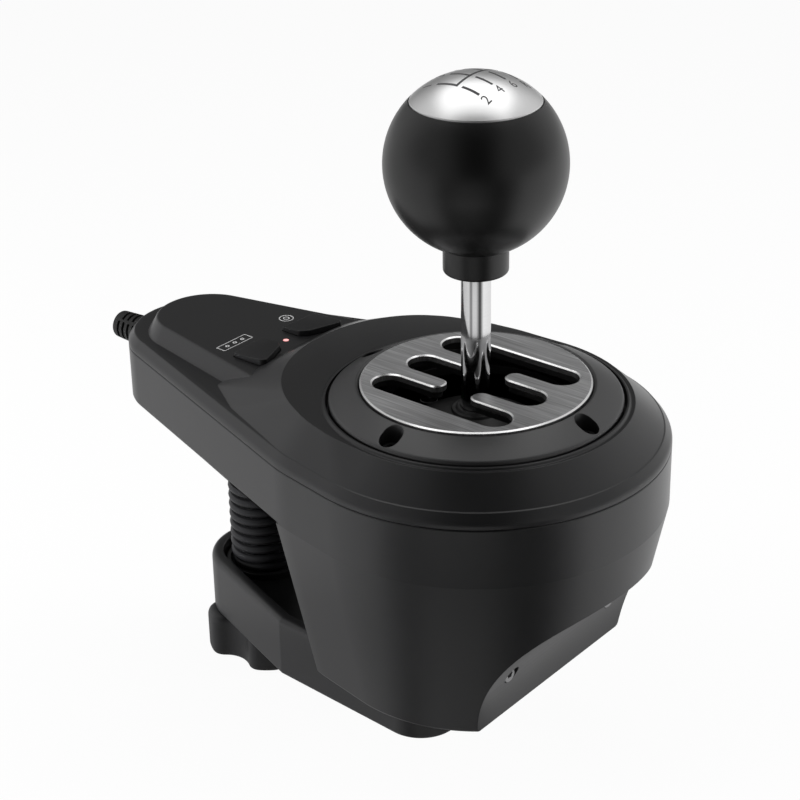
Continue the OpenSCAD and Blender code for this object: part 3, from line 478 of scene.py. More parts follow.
def grown(outline, by):
    """An outline grown outwards about its middle by a small gap."""
    middle = sum((Vector(p) for p in outline), Vector((0.0, 0.0))) / len(outline)
    return [tuple(Vector(p) + (Vector(p) - middle).normalized() * by) for p in outline]


holes = [rod(OPENING_R, HOLE_LOW, HOLE_TOP, sides=160), rod(LIGHT_R, HOLE_LOW, HOLE_TOP, LIGHT, 24)]
for plan in (button_hole, mirrored(button_hole)):
    holes.append(prism(grown(plan, BUTTON_GAP), HOLE_LOW, HOLE_TOP + 5.0))
carve(cover, gather(holes))
pilots = [rod(PILOT_R, HOLE_LOW, HOLE_TOP, (SCREW_R * x, SCREW_R * y), 24) for x, y in QUARTERS]
carve(cover, gather(pilots))
piece("top_cover", tidy(cover), shell_plastic, "shell", "housing", "upper_cover", sharp=14.0)


# Gate bezel: a conical ring of the same plastic that lies in the cover's recess and holds the gate
# plate down. Four socket screws go through it from above, each in a deep round hole.
BEZEL_SEAT, HEAD_ROOM_R, SHANK_HOLE_R = 87.5, 3.3, 1.7
ring = eased(
    [
        (OPENING_R, 88.4, 0),
        (OPENING_R, 90.9, 0),
        (35.5, 90.9, 0),
        (35.5, 94.2, 0.3),
        (36.4, 95.0, 0.35),
        (44.4, 90.9, 0.5),
        (44.9, 90.2, 0.4),
        (44.9, SEAT_Z, 0),
        (36.5, SEAT_Z, 0),
        (36.5, 88.4, 0),
    ],
    4,
    True,
)
bezel = spun(ring, ROUND, True)
for radius in (SCREW_R - 0.5, SCREW_R + 0.5):
    recesses = [rod(HEAD_ROOM_R, BEZEL_SEAT, 100.0, (radius * x, radius * y), 48) for x, y in QUARTERS]
    carve(bezel, gather(recesses))
shanks = [rod(SHANK_HOLE_R, HOLE_LOW, BEZEL_SEAT + 0.5, (SCREW_R * x, SCREW_R * y), 24) for x, y in QUARTERS]
carve(bezel, gather(shanks))
bezel_plastic = grained(
    "bezel_plastic",
    (0.013, 0.013, 0.0135),
    (0.018, 0.018, 0.0185),
    0.4,
    3200.0,
    0.00002,
    0.0003,
    Specular_IOR_Level=0.85,
)
piece("gate_ring", tidy(bezel), bezel_plastic, "shell", "housing", "gate_bezel")


# Gate plate: 2 mm stainless steel, cut with three slots and a cross channel and brushed along the
# slots. The edges are chamfered after brushing, so they stay bright. Under it lies a moulded guide.
GATE_R, GATE_Z, GATE_T = 35.3, 95.4, 2.0
PITCH, REACH, SLOT_HALF = 17.15, 19.7, 5.35
CHAMFER, CHAMFER_DEEP = 0.55, 0.34
ARC = 20


def gate_outline(half):
    """The edge of the H: round slot ends, and round tongues between the slots."""
    tongue = PITCH / 2 - half
    side = []
    for column in (-1, 0, 1):
        for k in range(ARC + 1):
            a = math.pi * (1 - k / ARC)
            side.append((column * PITCH + half * math.cos(a), REACH + half * math.sin(a)))
        if column < 1:
            for k in range(ARC + 1):
                a = math.pi * (1 + k / ARC)
                x, y = (column + 0.5) * PITCH, PITCH / 2
                side.append((x + tongue * math.cos(a), y + tongue * math.sin(a)))
    return side + [(-x, -y) for x, y in side]


def loops(bm, outlines):
    """Walls through outlines of equal length; each is a list of points and a height."""
    last = []
    for points, z in outlines:
        ring = [bm.verts.new((x, y, z)) for x, y in points]
        edges = [bm.edges.new((ring[i - 1], ring[i])) for i in range(len(ring))]
        if last:
            bmesh.ops.bridge_loops(bm, edges=last + edges)
        last = edges


def circle_points(r, count=240):
    """Points of a circle about the lever's axis."""
    turns = [2 * math.pi * k / count for k in range(count)]
    return [(r * math.cos(a), r * math.sin(a)) for a in turns]


brushed_steel, shade, shader = new_finish("brushed_gate_steel", Metallic=1.0)
place = shade.node("ShaderNodeTexCoord", out="Object")
along = shade.node("ShaderNodeMapping", None, {"Vector": place, "Scale": (2600.0, 45.0, 400.0)})
streaks = shade.node(
    "ShaderNodeTexNoise", None, {"Vector": along, "Scale": 1.0, "Detail": 4.0, "Roughness": 0.6}
)
broad = shade.node("ShaderNodeMapping", None, {"Vector": place, "Scale": (700.0, 22.0, 100.0)})
bands = shade.node("ShaderNodeTexNoise", None, {"Vector": broad, "Scale": 1.0, "Detail": 2.0})
STEEL_TONES = [
    (0.3, (0.34, 0.34, 0.343, 1.0)),
    (0.5, (0.56, 0.56, 0.565, 1.0)),
    (0.72, (0.84, 0.84, 0.845, 1.0)),
]
steel_tone = shade.node("ShaderNodeValToRGB", {"stops": STEEL_TONES}, {"Fac": streaks * 0.65 + bands * 0.35})
shade.link(shader.inputs["Base Color"], steel_tone)
shade.link(shader.inputs["Roughness"], 0.3 + streaks * 0.16)
shade.link(
    shader.inputs["Normal"],
    shade.node("ShaderNodeBump", None, {"Strength": 0.35, "Distance": 0.00003, "Height": streaks}),
)
bright_edge, shade, shader = new_finish("bright_chamfer", Metallic=1.0)
place = shade.node("ShaderNodeTexCoord", out="Object")
fine = shade.node("ShaderNodeTexNoise", None, {"Vector": place, "Scale": 900.0, "Detail": 2.0})
shade.link(shader.inputs["Base Color"], between(shade, fine, (0.78, 0.78, 0.78), (0.92, 0.92, 0.92)))
shade.link(shader.inputs["Roughness"], 0.2 + fine * 0.1)

plate = bmesh.new()
loops(
    plate,
    [
        (gate_outline(SLOT_HALF + CHAMFER), GATE_Z),
        (gate_outline(SLOT_HALF), GATE_Z - CHAMFER_DEEP),
        (gate_outline(SLOT_HALF), GATE_Z - GATE_T),
    ],
)
loops(
    plate,
    [
        (circle_points(GATE_R - CHAMFER), GATE_Z),
        (circle_points(GATE_R), GATE_Z - CHAMFER_DEEP),
        (circle_points(GATE_R), GATE_Z - GATE_T),
    ],
)
for z in (GATE_Z, GATE_Z - GATE_T):
    open_edges = [e for e in plate.edges if e.is_boundary and all(abs(v.co.z - z) < 1e-4 for v in e.verts)]
    bmesh.ops.triangle_fill(plate, edges=open_edges, use_beauty=True)
tidy(plate)
for face in plate.faces:
    face.material_index = 1 if 0.2 < abs(face.normal.z) < 0.95 else 0
gate_finish = [brushed_steel, bright_edge]
piece("gate_steel_plate", plate, gate_finish, "gate_steel", "housing", "gate_plate", sharp=20.0)


# Shift rod: 9 mm steel bar, ground and chromed, that slides in the lever block below and is screwed into
# the knob above. Polishing leaves very faint rings round it.
ROD_R, ROD_LOW, ROD_TOP, ROD_EASE = 4.5, 53.4, 156.0, 0.8
chrome, shade, shader = new_finish("polished_chrome", Metallic=1.0)
place = shade.node("ShaderNodeTexCoord", out="Object")
around = shade.node("ShaderNodeMapping", None, {"Vector": place, "Scale": (60.0, 60.0, 2400.0)})
rings = shade.node("ShaderNodeTexNoise", None, {"Vector": around, "Scale": 1.0, "Detail": 3.0})
shade.link(shader.inputs["Base Color"], between(shade, rings, (0.74, 0.74, 0.75), (0.84, 0.84, 0.84)))
shade.link(shader.inputs["Roughness"], 0.07 + rings * 0.06)
bar = [
    (0.0, ROD_LOW, 0),
    (ROD_R, ROD_LOW, ROD_EASE),
    (ROD_R, 130.0, 0),
    (ROD_R, ROD_TOP, ROD_EASE),
    (0.0, ROD_TOP, 0),
]
piece("shift_rod_bar", spun(eased(bar), 96), chrome, "chrome_rod", "stick", "shift_rod")


# Knob ball: a full round ball of smooth black phenolic with a short collar turned in one with it. A
# brass bush is moulded in for the rod, and a flat seat on top takes the metal cap.
BALL_R, BALL_Z = 27.0, 164.4
CAP_R = 19.3
STUD_R, STUD_DEEP, CAP_DEEP = 5.0, 6.0, 1.2
COLLAR_R, COLLAR_Z, ROD_HOLE_R = 9.8, 131.2, 4.7
BUSH_R, BUSH_LOW, BUSH_TOP = 7.0, COLLAR_Z + 1.8, COLLAR_Z + 26.8
ball_black = grained(
    "ball_black", (0.003, 0.003, 0.003), (0.005, 0.005, 0.005), 0.34, 2600.0, 0.000006, Specular_IOR_Level=0.5
)


def ball_arc(low, high, steps):
    """Points of the ball's outline between two angles above its equator."""
    turn = [math.radians(low + (high - low) * k / steps) for k in range(steps + 1)]
    return [(BALL_R * math.cos(a), BALL_Z + BALL_R * math.sin(a)) for a in turn]


cap_edge = math.degrees(math.acos(CAP_R / BALL_R))
cap_edge_z = BALL_Z + BALL_R * math.sin(math.radians(cap_edge))
neck = -math.degrees(math.acos((COLLAR_R + 0.7) / BALL_R))
cap_seat = cap_edge_z - CAP_DEEP
stud_hole = cap_edge_z - STUD_DEEP - 0.2
collar = [
    (ROD_HOLE_R, BUSH_LOW, 0),
    (ROD_HOLE_R, COLLAR_Z, 0.3),
    (COLLAR_R, COLLAR_Z, 0.9),
    (COLLAR_R, 138.6, 0),
    (COLLAR_R, 139.4, 0),
]
outline = [(0.0, BUSH_TOP), (BUSH_R, BUSH_TOP), (BUSH_R, BUSH_LOW)]
outline += [tuple(p) for p in eased(collar, 5)] + ball_arc(neck, cap_edge - 0.5, 72)
outline += [(CAP_R + 0.02, cap_edge_z - 0.35), (CAP_R, cap_seat)]
outline += [(STUD_R, cap_seat), (STUD_R, stud_hole), (0.0, stud_hole)]
piece("ball_knob", spun(outline, 128), ball_black, "ball", "stick", "knob_ball")


# Knob cap: a satin metal dome let into the ball's top, with the shift pattern etched and filled dark
# grey: six gears in three columns and reverse beside them, read from the driver's seat.
COLUMNS = (-8.8, -2.65, 3.5, 9.4)
MARK_Y, MARK_SIZE, LINE_W = 10.4, 4.3, 0.85
MARK_LIFT, MARK_DEEP = 0.03, 0.12
UPPER_LINE, LOWER_LINE = (0.2, 6.6), (-2.3, -7.4)
satin, shade, shader = new_finish("satin_cap", Metallic=1.0)
place = shade.node("ShaderNodeTexCoord", out="Object")
blasted = shade.node("ShaderNodeTexNoise", None, {"Vector": place, "Scale": 4200.0, "Detail": 2.0})
cloud = shade.node("ShaderNodeTexNoise", None, {"Vector": place, "Scale": 120.0, "Detail": 2.0})
mottle = blasted * 0.5 + cloud * 0.5
shade.link(shader.inputs["Base Color"], between(shade, mottle, (0.74, 0.74, 0.74), (0.86, 0.86, 0.86)))
shade.link(shader.inputs["Roughness"], 0.3 + blasted * 0.06 + cloud * 0.05)
shade.link(
    shader.inputs["Normal"],
    shade.node("ShaderNodeBump", None, {"Strength": 0.3, "Distance": 0.00001, "Height": blasted}),
)
stud_end, cap_rim = cap_edge_z - STUD_DEEP, CAP_R - 0.12
dome = [(0.0, stud_end), (STUD_R, stud_end), (STUD_R, cap_seat), (cap_rim, cap_seat)]
dome += [(cap_rim, cap_edge_z - 0.3)] + ball_arc(cap_edge + 0.8, 90.0, 40)
piece("shift_cap", spun(dome, 128), satin, "cap_metal", "stick", "knob_cap")

etched = grained("etched_grey", (0.045, 0.045, 0.047), (0.07, 0.07, 0.072), 0.6, 2400.0, 0.00001)


def laid_on_ball(bm):
    """Lays a flat shape on the ball and gives it a little thickness."""
    for vert in bm.verts:
        x, y = vert.co.x, vert.co.y
        vert.co.z = BALL_Z + math.sqrt((BALL_R + MARK_LIFT) ** 2 - x * x - y * y)
    skirt = bmesh.ops.extrude_face_region(bm, geom=bm.faces[:])["geom"]
    low = [g for g in skirt if isinstance(g, bmesh.types.BMVert)]
    bmesh.ops.translate(bm, vec=(0.0, 0.0, -MARK_DEEP), verts=low)
    bmesh.ops.recalc_face_normals(bm, faces=bm.faces)
    return bm


def stroke(x0, y0, x1, y1):
    """A straight line of the pattern."""
    bm = bmesh.new()
    bmesh.ops.create_grid(bm, x_segments=12, y_segments=1, size=0.5)
    start, end = Vector((x0, y0)), Vector((x1, y1))
    along = end - start
    bmesh.ops.scale(bm, vec=(along.length + LINE_W, LINE_W, 1.0), verts=bm.verts)
    turn = Matrix.Rotation(math.atan2(along.y, along.x), 3, "Z")
    bmesh.ops.rotate(bm, matrix=turn, verts=bm.verts)
    bmesh.ops.translate(bm, vec=(*(start + end) / 2, 0.0), verts=bm.verts)
    return laid_on_ball(bm)


def figure(text, x, y):
    """A gear's number, from a plain outline font, laid on the cap."""
    curve = bpy.data.curves.new("figure", "FONT")
    curve.body = text
    curve.size = MARK_SIZE
    curve.align_x = "CENTER"
    curve.align_y = "CENTER"
    curve.resolution_u = 6
    holder = bpy.data.objects.new("figure", curve)
    bpy.context.scene.collection.objects.link(holder)
    bpy.context.view_layer.update()
    flat = bpy.data.meshes.new_from_object(holder.evaluated_get(bpy.context.evaluated_depsgraph_get()))
    bm = bmesh.new()
    bm.from_mesh(flat)
    bpy.data.objects.remove(holder)
    bpy.data.curves.remove(curve)
    bpy.data.meshes.remove(flat)
    bmesh.ops.remove_doubles(bm, verts=bm.verts, dist=1e-4)
    bmesh.ops.triangulate(bm, faces=bm.faces[:])
    bmesh.ops.subdivide_edges(bm, edges=bm.edges[:], cuts=1, use_grid_fill=True)
    bmesh.ops.translate(bm, vec=(x, y, 0.0), verts=bm.verts)
    return laid_on_ball(bm)


marks = [stroke(COLUMNS[0], 0.0, COLUMNS[3], 0.0)]
for x, upper, lower in zip(COLUMNS, "135 ", "246R"):
    marks.append(stroke(x, LOWER_LINE[0], x, LOWER_LINE[1]))
    marks.append(figure(lower, x, -MARK_Y))
    if upper != " ":
        marks.append(stroke(x, UPPER_LINE[0], x, UPPER_LINE[1]))
        marks.append(figure(upper, x, MARK_Y))
piece("shift_pattern", gather(marks), etched, "cap_metal", "stick")


# Buttons: two keys of black plastic that stand out of the tail, a little more on the side of the gate.
# Each has a flange under the cover and a stem that meets its switch.
BUTTON_LOW, BUTTON_UP, BUTTON_Y, BUTTON_LONG = 88.3, 89.2, 83.5, 13.5
BUTTON_EASE, KEY_FOOT = 0.35, 83.0
FLANGE_OUT, FLANGE_LOW, FLANGE_TOP = 1.0, 82.95, 84.15
STEM_R, STEM_LOW, STEM_TOP, STEM_X, STEM_Y = 2.0, 82.6, 83.5, 12.0, 76.5
button_black = grained(
    "button_black",
    (0.007, 0.007, 0.0075),
    (0.011, 0.011, 0.0115),
    0.4,
    3000.0,
    0.00001,
    0.0003,
    Specular_IOR_Level=0.3,
)
for side, name, body in ((1, "button_right", "right_button"), (-1, "button_left", "left_button")):
    shape = button_hole if side > 0 else mirrored(button_hole)
    key = prism(shape, KEY_FOOT, PANEL_Z + 4)
    wedge = block((-60.0, -80.0, 0.0), (60.0, 80.0, 20.0))
    tilt = -math.atan((BUTTON_UP - BUTTON_LOW) / BUTTON_LONG)
    bmesh.ops.rotate(wedge, matrix=Matrix.Rotation(tilt, 3, "X"), verts=wedge.verts)
    bmesh.ops.translate(wedge, vec=(0.0, BUTTON_Y, BUTTON_LOW), verts=wedge.verts)
    carve(key, wedge)
    top = [e for e in key.edges if e.calc_length() > 0.05 and all(v.co.z > PANEL_Z + 0.5 for v in e.verts)]
    bmesh.ops.bevel(
        key,
        geom=top,
        offset=BUTTON_EASE,
        offset_type="OFFSET",
        segments=3,
        profile=0.5,
        affect="EDGES",
        material=-1,
        clamp_overlap=True,
    )
    carve(key, prism(grown(shape, FLANGE_OUT), FLANGE_LOW, FLANGE_TOP), "UNION")
    carve(key, rod(STEM_R, STEM_LOW, STEM_TOP, (side * STEM_X, STEM_Y), 32), "UNION")
    piece(name + "_key", tidy(key), button_black, "dark_plastic", body, name)


# Strain relief: a boot of moulded rubber, pulled into a hole in the tail's end until its flange grips
# the wall from inside. Slots in two staggered rows leave it ribbed and free to bend.
BOOT_L = 14.6
SLOT_L, SLOT_W, SLOT_D, SLOT_OUT = 6.4, 1.1, 3.0, 4.6
rubber = grained(
    "soft_rubber", (0.010, 0.010, 0.010), (0.017, 0.017, 0.017), 0.6, 1800.0, 0.00002, Specular_IOR_Level=0.2
)
boot_line = eased(
    [
        (2.0, -5.6, 0),
        (6.0, -5.6, 0.4),
        (6.0, -3.7, 0.3),
        (4.0, -3.7, 0),
        (4.0, 0.05, 0),
        (5.5, 0.05, 0.4),
        (4.7, BOOT_L, 0.7),
        (2.0, BOOT_L, 0.3),
    ],
    4,
    True,
)
boot = lying_y(spun(boot_line, 64, True), (0.0, BOOT_Y, BOOT_Z))
slots = []
for k in range(1, 5):
    for shift, upright in ((0.3, False), (0.8, True)):
        y = BOOT_Y + BOOT_L / 6 * (k + shift)
        size = Vector((SLOT_D, SLOT_W, SLOT_L) if upright else (SLOT_L, SLOT_W, SLOT_D))
        for off in (-SLOT_OUT, SLOT_OUT):
            middle = Vector((off, y, BOOT_Z) if upright else (0.0, y, BOOT_Z + off))
            slots.append(block(middle - size / 2, middle + size / 2))
carve(boot, gather(slots))
piece("cord_boot", tidy(boot), rubber, "rubber", "housing", "strain_relief")


# Springs: a compression spring of blackened wire round the clamp screw, seated in a ring on the jaw and
# on the boss under the tail, keeps the jaw down when the screw is slack. Smaller ones of bare wire lift
# the rod and bring the gimbal back to its middle.
PER_TURN, WIRE_SIDES, END_LAY = 40, 12, 1.02
black_steel = grained(
    "blackened_steel",
    (0.008, 0.008, 0.009),
    (0.014, 0.014, 0.015),
    0.42,
    1500.0,
    0.00001,
    Specular_IOR_Level=0.3,
)
bare_steel = grained("bare_steel", (0.36, 0.36, 0.37), (0.5, 0.5, 0.5), 0.32, 900.0, 0.00001, Metallic=1.0)


def coil(radius, wire, low, high, turns, place):
    """A spring of round wire whose first and last turns close up."""
    lay = wire * END_LAY
    rest = high - low - wire - 2 * lay
    heights = []
    for k in range(turns * PER_TURN + 1):
        t = k / PER_TURN
        lead = min(max((t - 1) / (turns - 2), 0.0), 1.0)
        ends = min(t, 1) + max(0.0, t - (turns - 1))
        heights.append(low + wire / 2 + lay * ends + rest * lead)
    bm = bmesh.new()
    section = bmesh.ops.create_circle(bm, segments=WIRE_SIDES, radius=wire / 2)["verts"]
    bmesh.ops.rotate(bm, matrix=Matrix.Rotation(math.pi / 2, 3, "X"), verts=section)
    bmesh.ops.translate(bm, vec=(radius, 0.0, heights[0]), verts=section)
    edges = bm.edges[:]
    bmesh.ops.edgeloop_fill(bm, edges=edges)
    turn = Matrix.Rotation(2 * math.pi / PER_TURN, 3, "Z")
    for before, after in zip(heights, heights[1:]):
        section, edges = drawn_out(bm, edges)
        bmesh.ops.rotate(bm, matrix=turn, verts=section)
        bmesh.ops.translate(bm, vec=(0.0, 0.0, after - before), verts=section)
    bmesh.ops.edgeloop_fill(bm, edges=edges)
    bmesh.ops.recalc_face_normals(bm, faces=bm.faces)
    bmesh.ops.translate(bm, vec=(*place, 0.0), verts=bm.verts)
    return bm


spring = coil(radius=10.8, wire=2.8, low=-0.7, high=57.7, turns=16, place=(0.0, CLAMP_Y))
spring = piece("clamp_coil", spring, black_steel, "black_steel", None, "clamp_spring")
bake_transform(spring)

inner = coil(radius=3.5, wire=0.9, low=41.7, high=53.1, turns=6, place=(0.0, 0.0))
inner = piece("press_coil", inner, bare_steel, "screw_steel", None, "press_spring")
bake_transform(inner)

pair = [coil(radius=3.4, wire=0.9, low=26.3, high=41.1, turns=7, place=(x, 0.0)) for x in (-14.5, 14.5)]
pair = piece("centring_coils", gather(pair), bare_steel, "screw_steel", None, "centring_springs")
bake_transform(pair)


# Clamp jaw: a stiff arm of the shell's plastic, sunk on top inside a raised rim, with a low foot that
# goes under the desk and a ring round the screw that holds the spring's end.
JAW = [(0.0, CLAMP_Y, 19.0), (28.2, 55.6, 4.0), (-28.2, 55.6, 4.0), (22.3, 5.0, 13.0), (-22.3, 5.0, 13.0)]
POCKET = [(0.0, CLAMP_Y, 14.8), (26.8, 55.2, 1.2), (-26.8, 55.2, 1.2), (22.3, 5.0, 8.8), (-22.3, 5.0, 8.8)]
JAW_TOP, JAW_FLOOR, JAW_FOOT, JAW_LOW = 4.5, -1.0, -7.0, -17.1
FOOT_Y, POCKET_Y = 37.0, 39.6
PAD_Y, PAD_IN, PAD_SINK = 34.4, 2.6, 1.2
SCREW_HOLE_R, WASHER_R, WASHER_SINK = 5.15, 9.2, 1.3
WIDE, TALL = FAR / 2, FAR / 4
edge = [(3.0, JAW_LOW, 0), (0.0, JAW_LOW, 1.2), (0.0, JAW_TOP, 2.6), (3.7, JAW_TOP, 0)]
jaw = skin(rounded_levels(edge, 7), on_hull(JAW))
carve(jaw, block((-WIDE, -WIDE, JAW_FOOT), (WIDE, FOOT_Y, TALL)))
pocket = [
    (0.9, JAW_FLOOR, 0),
    (0.5, JAW_FLOOR, 0.3),
    (0.1, JAW_TOP - 0.5, 0.4),
    (-0.4, JAW_TOP + 0.1, 0),
    (-1.0, JAW_TOP + 2, 0),
]
hollow = skin(rounded_levels(pocket, 4), on_hull(POCKET))
carve(hollow, block((-WIDE, POCKET_Y, -TALL), (WIDE, FAR, TALL)), "INTERSECT")
carve(jaw, hollow)
seat = skin([(JAW_FOOT - PAD_SINK, PAD_IN), (0.0, PAD_IN)], on_hull(JAW))
carve(seat, block((-WIDE, -WIDE, -TALL), (WIDE, PAD_Y, TALL)), "INTERSECT")
carve(jaw, seat)
ring = [(12.4, -2.0, 0), (14.0, -2.0, 0), (14.0, 1.5, 0.4), (12.4, 1.5, 0.4)]
collar = spun(eased(ring, 4, True), 96, True)
bmesh.ops.translate(collar, vec=(0.0, CLAMP_Y, 0.0), verts=collar.verts)
carve(jaw, collar, "UNION")
carve(jaw, rod(SCREW_HOLE_R, -20.0, 10.0, (0.0, CLAMP_Y), 48))
carve(jaw, rod(WASHER_R, -20.0, JAW_LOW + WASHER_SINK, (0.0, CLAMP_Y), 64))
piece("clamp_arm", tidy(jaw), shell_plastic, "shell", "jaw", "clamp_jaw", sharp=25.0)


# Clamp screw and hand knob: a steel screw with a 2 mm right-hand thread, moulded into a five-lobed knob
# that fingers turn from below.
HAND_R, HAND_FLUTE, HAND_H, HAND_TOP = 21.8, 9.7, 15.6, -17.3
HAND_LOBE, FLUTE_OUT = math.radians(145.8), 26.5
EASE_FROM, EASE_TO = math.radians(17.0), math.radians(30.0)
EASE_R, EASE_RISE = 19.5, 5.88
SCREW_LOW, SCREW_TOP, PLAIN_L = -31.4, 83.0, 16.0
THREAD_R, THREAD_RISE, THREAD_DEEP = 5.0, 2.0, 1.1


def hand_place(step, level):
    """Plan point of the lobed knob: a circle with five round flutes, its corners softened."""
    turn = 2 * math.pi * step / RIM
    off = (turn - HAND_LOBE) % (2 * math.pi / 5) - math.pi / 5
    inside = HAND_FLUTE**2 - (FLUTE_OUT * math.sin(off)) ** 2
    flute = FLUTE_OUT * math.cos(off) - math.sqrt(inside) if inside > 0 else FAR
    ease = (abs(off) - EASE_FROM) / (EASE_TO - EASE_FROM)
    if ease >= 1.0:
        flute = HAND_R
    elif ease > 0.0:
        flute = EASE_R + EASE_RISE * ease * (1 - ease) ** 2 + (HAND_R - EASE_R) * ease**2 * (3 - 2 * ease)
    r = flute - level[1]
    return Vector((r * math.cos(turn), CLAMP_Y + r * math.sin(turn)))


hand_low = HAND_TOP - HAND_H
edge = [(8.0, hand_low, 0), (0.0, hand_low, 1.3), (0.0, HAND_TOP, 3.6), (8.0, HAND_TOP, 0)]
hand = skin(rounded_levels(edge, 7), hand_place)
carve(hand, rod(THREAD_R, SCREW_LOW, 0.0, (0.0, CLAMP_Y), 48))
knob_plastic = grained(
    "knob_plastic",
    (0.009, 0.009, 0.0095),
    (0.013, 0.013, 0.0135),
    0.42,
    2800.0,
    0.00002,
    Specular_IOR_Level=0.45,
)
piece("hand_knob", hand, knob_plastic, "shell", "screw", "clamp_knob")

root = THREAD_R - THREAD_DEEP
z = SCREW_LOW + PLAIN_L
core = [(0.0, SCREW_LOW), (THREAD_R - 0.3, SCREW_LOW), (THREAD_R, SCREW_LOW + 0.4), (THREAD_R, z)]
while z < SCREW_TOP - 3.0:
    core += [(THREAD_R, z + 0.5), (root, z + 1.05), (root, z + 1.2), (THREAD_R, z + 1.75)]
    z += THREAD_RISE
core += [(THREAD_R, SCREW_TOP - 0.6), (THREAD_R - 0.6, SCREW_TOP), (0.0, SCREW_TOP)]
shaft = spun(core, 48)
bmesh.ops.translate(shaft, vec=(0.0, CLAMP_Y, 0.0), verts=shaft.verts)
piece("clamp_screw_bar", shaft, black_steel, "black_steel", "screw", "clamp_screw", sharp=20.0)


# Small screws: steel pan heads with a six-lobed socket. Blackened ones hold the bezel; bare ones hold the
# base plate in the knee hollow and from below, and the cover from under the tail.
HEAD_R, HEAD_H, HEAD_SHANK = 2.8, 2.0, 1.5
SOCKET_SHARE, LOBE_SHARE, SOCKET_DEEP = 0.44, 0.14, 0.6
BASE_SCREWS = [(40.1, -8.0), (36.9, 20.0)]
BASE_SEAT, FRONT_SEAT, COVER_SEAT = 3.0, -31.0, 62.0


def screw(length):
    """A screw that stands on its head's seat, with its socket on top."""
    line = [
        (0.0, -length, 0),
        (HEAD_SHANK - 0.3, -length, 0),
        (HEAD_SHANK, -length + 0.5, 0),
        (HEAD_SHANK, 0.0, 0),
        (HEAD_R, 0.0, 0.1),
        (HEAD_R, HEAD_H, 0.5),
        (HEAD_R * 0.5, HEAD_H, 0),
    ]
    bm = spun(eased(line, 3), 36)
    rim, edges = drawn_out(bm, [e for e in bm.edges if e.is_boundary])
    for vert in rim:
        a = math.atan2(vert.co.y, vert.co.x)
        r = HEAD_R * SOCKET_SHARE * (1 + LOBE_SHARE * math.cos(6 * a))
        vert.co = (r * math.cos(a), r * math.sin(a), HEAD_H)
    bottom, edges = drawn_out(bm, edges)
    bmesh.ops.translate(bm, vec=(0.0, 0.0, -HEAD_H * SOCKET_DEEP), verts=bottom)
    bmesh.ops.edgeloop_fill(bm, edges=edges)
    return tidy(bm)


def moved(bm, vec, turn=None):
    """A shape turned and put in place."""
    if turn is not None:
        bmesh.ops.rotate(bm, matrix=turn, verts=bm.verts)
    bmesh.ops.translate(bm, vec=vec, verts=bm.verts)
    return bm


OVER = Matrix.Rotation(math.pi, 3, "X")
AHEAD = Matrix.Rotation(math.pi / 2, 3, "X")
front_x, front_z = FRONT_SCREW
heads = {
    "bezel_screws": [moved(screw(10.1), (SCREW_R * x, SCREW_R * y, BEZEL_SEAT)) for x, y in QUARTERS],
    "base_screws": [moved(screw(10.0), (s * x, y, BASE_SEAT), OVER) for s in SIDES for x, y in BASE_SCREWS],
    "front_screws": [moved(screw(8.4), (s * front_x, FRONT_SEAT, front_z), AHEAD) for s in SIDES],
    "cover_screws": [moved(screw(16.0), (s * x, y, COVER_SEAT), OVER) for s in SIDES for x, y in COVER_SCREWS],
}
for node, shapes in heads.items():
    finish, slot = (black_steel, "black_steel") if node == "bezel_screws" else (bare_steel, "screw_steel")
    piece(node + "_set", gather(shapes), finish, slot, "housing", node)


# Dust dome: a thin black dome on the lever that keeps dirt out of the gimbal, seen through the slots,
# with a raised ring where the rod comes through.
dark_plastic = grained("dark_plastic", (0.008, 0.008, 0.008), (0.014, 0.014, 0.014), 0.5, 2600.0, 0.00001)
PIVOT_Z, DOME_R, DOME_T, DOME_SPAN = 47.4, 38.5, 1.5, 41.0
HUB_R, HUB_LOW = 8.0, PIVOT_Z + 24.0


def dome_arc(r, start, end, steps=24):
    """Points of an arc about the lever's pivot between two angles from upright."""
    turn = [math.radians(start + (end - start) * k / steps) for k in range(steps + 1)]
    return [(r * math.sin(a), PIVOT_Z + r * math.cos(a)) for a in turn]


hub = math.degrees(math.asin(HUB_R / DOME_R))
foot = PIVOT_Z + (DOME_R - DOME_T) * math.cos(math.radians(DOME_SPAN))
low_in = math.degrees(math.asin(HUB_R / (DOME_R - DOME_T)))
span_out = math.degrees(math.acos((foot - PIVOT_Z) / DOME_R))
crown = PIVOT_Z + DOME_R
shape = [(ROD_HOLE_R, HUB_LOW), (ROD_HOLE_R, crown + 0.8), (5.6, crown + 0.8), (6.2, crown + 0.2)]
shape += [(7.2, crown + 0.2), (7.6, crown - 0.5)] + dome_arc(DOME_R, hub + 1.5, span_out)
shape += dome_arc(DOME_R - DOME_T, DOME_SPAN, low_in) + [(HUB_R, HUB_LOW)]
piece("dome_cover", spun(shape, 96, True), dark_plastic, "dark_plastic", "lever", "dust_dome")


# Marks beside the buttons: a plain outlined bar with three dots and a plain double ring, pad-printed in
# pale grey ink on the tail, so that the keys can be told apart.
MARK_Z, INK_T = PANEL_Z + 0.04, 0.1
BAR_AT, RING_AT = (-11.5, 89.5), (13.0, 89.0)
DOTS_AT = [(-15.0, 89.5), (-11.5, 89.5), (-8.0, 89.5)]
print_grey = grained("printed_grey", (0.58, 0.58, 0.58), (0.7, 0.7, 0.7), 0.6, 1500.0, 0.000004)


def frame_mark(outer, inner):
    """A flat frame between two outlines of equal length."""
    bm = bmesh.new()
    low = MARK_Z - INK_T
    loops(bm, [(outer, low), (outer, MARK_Z), (inner, MARK_Z), (inner, low), (outer, low)])
    return tidy(bm)


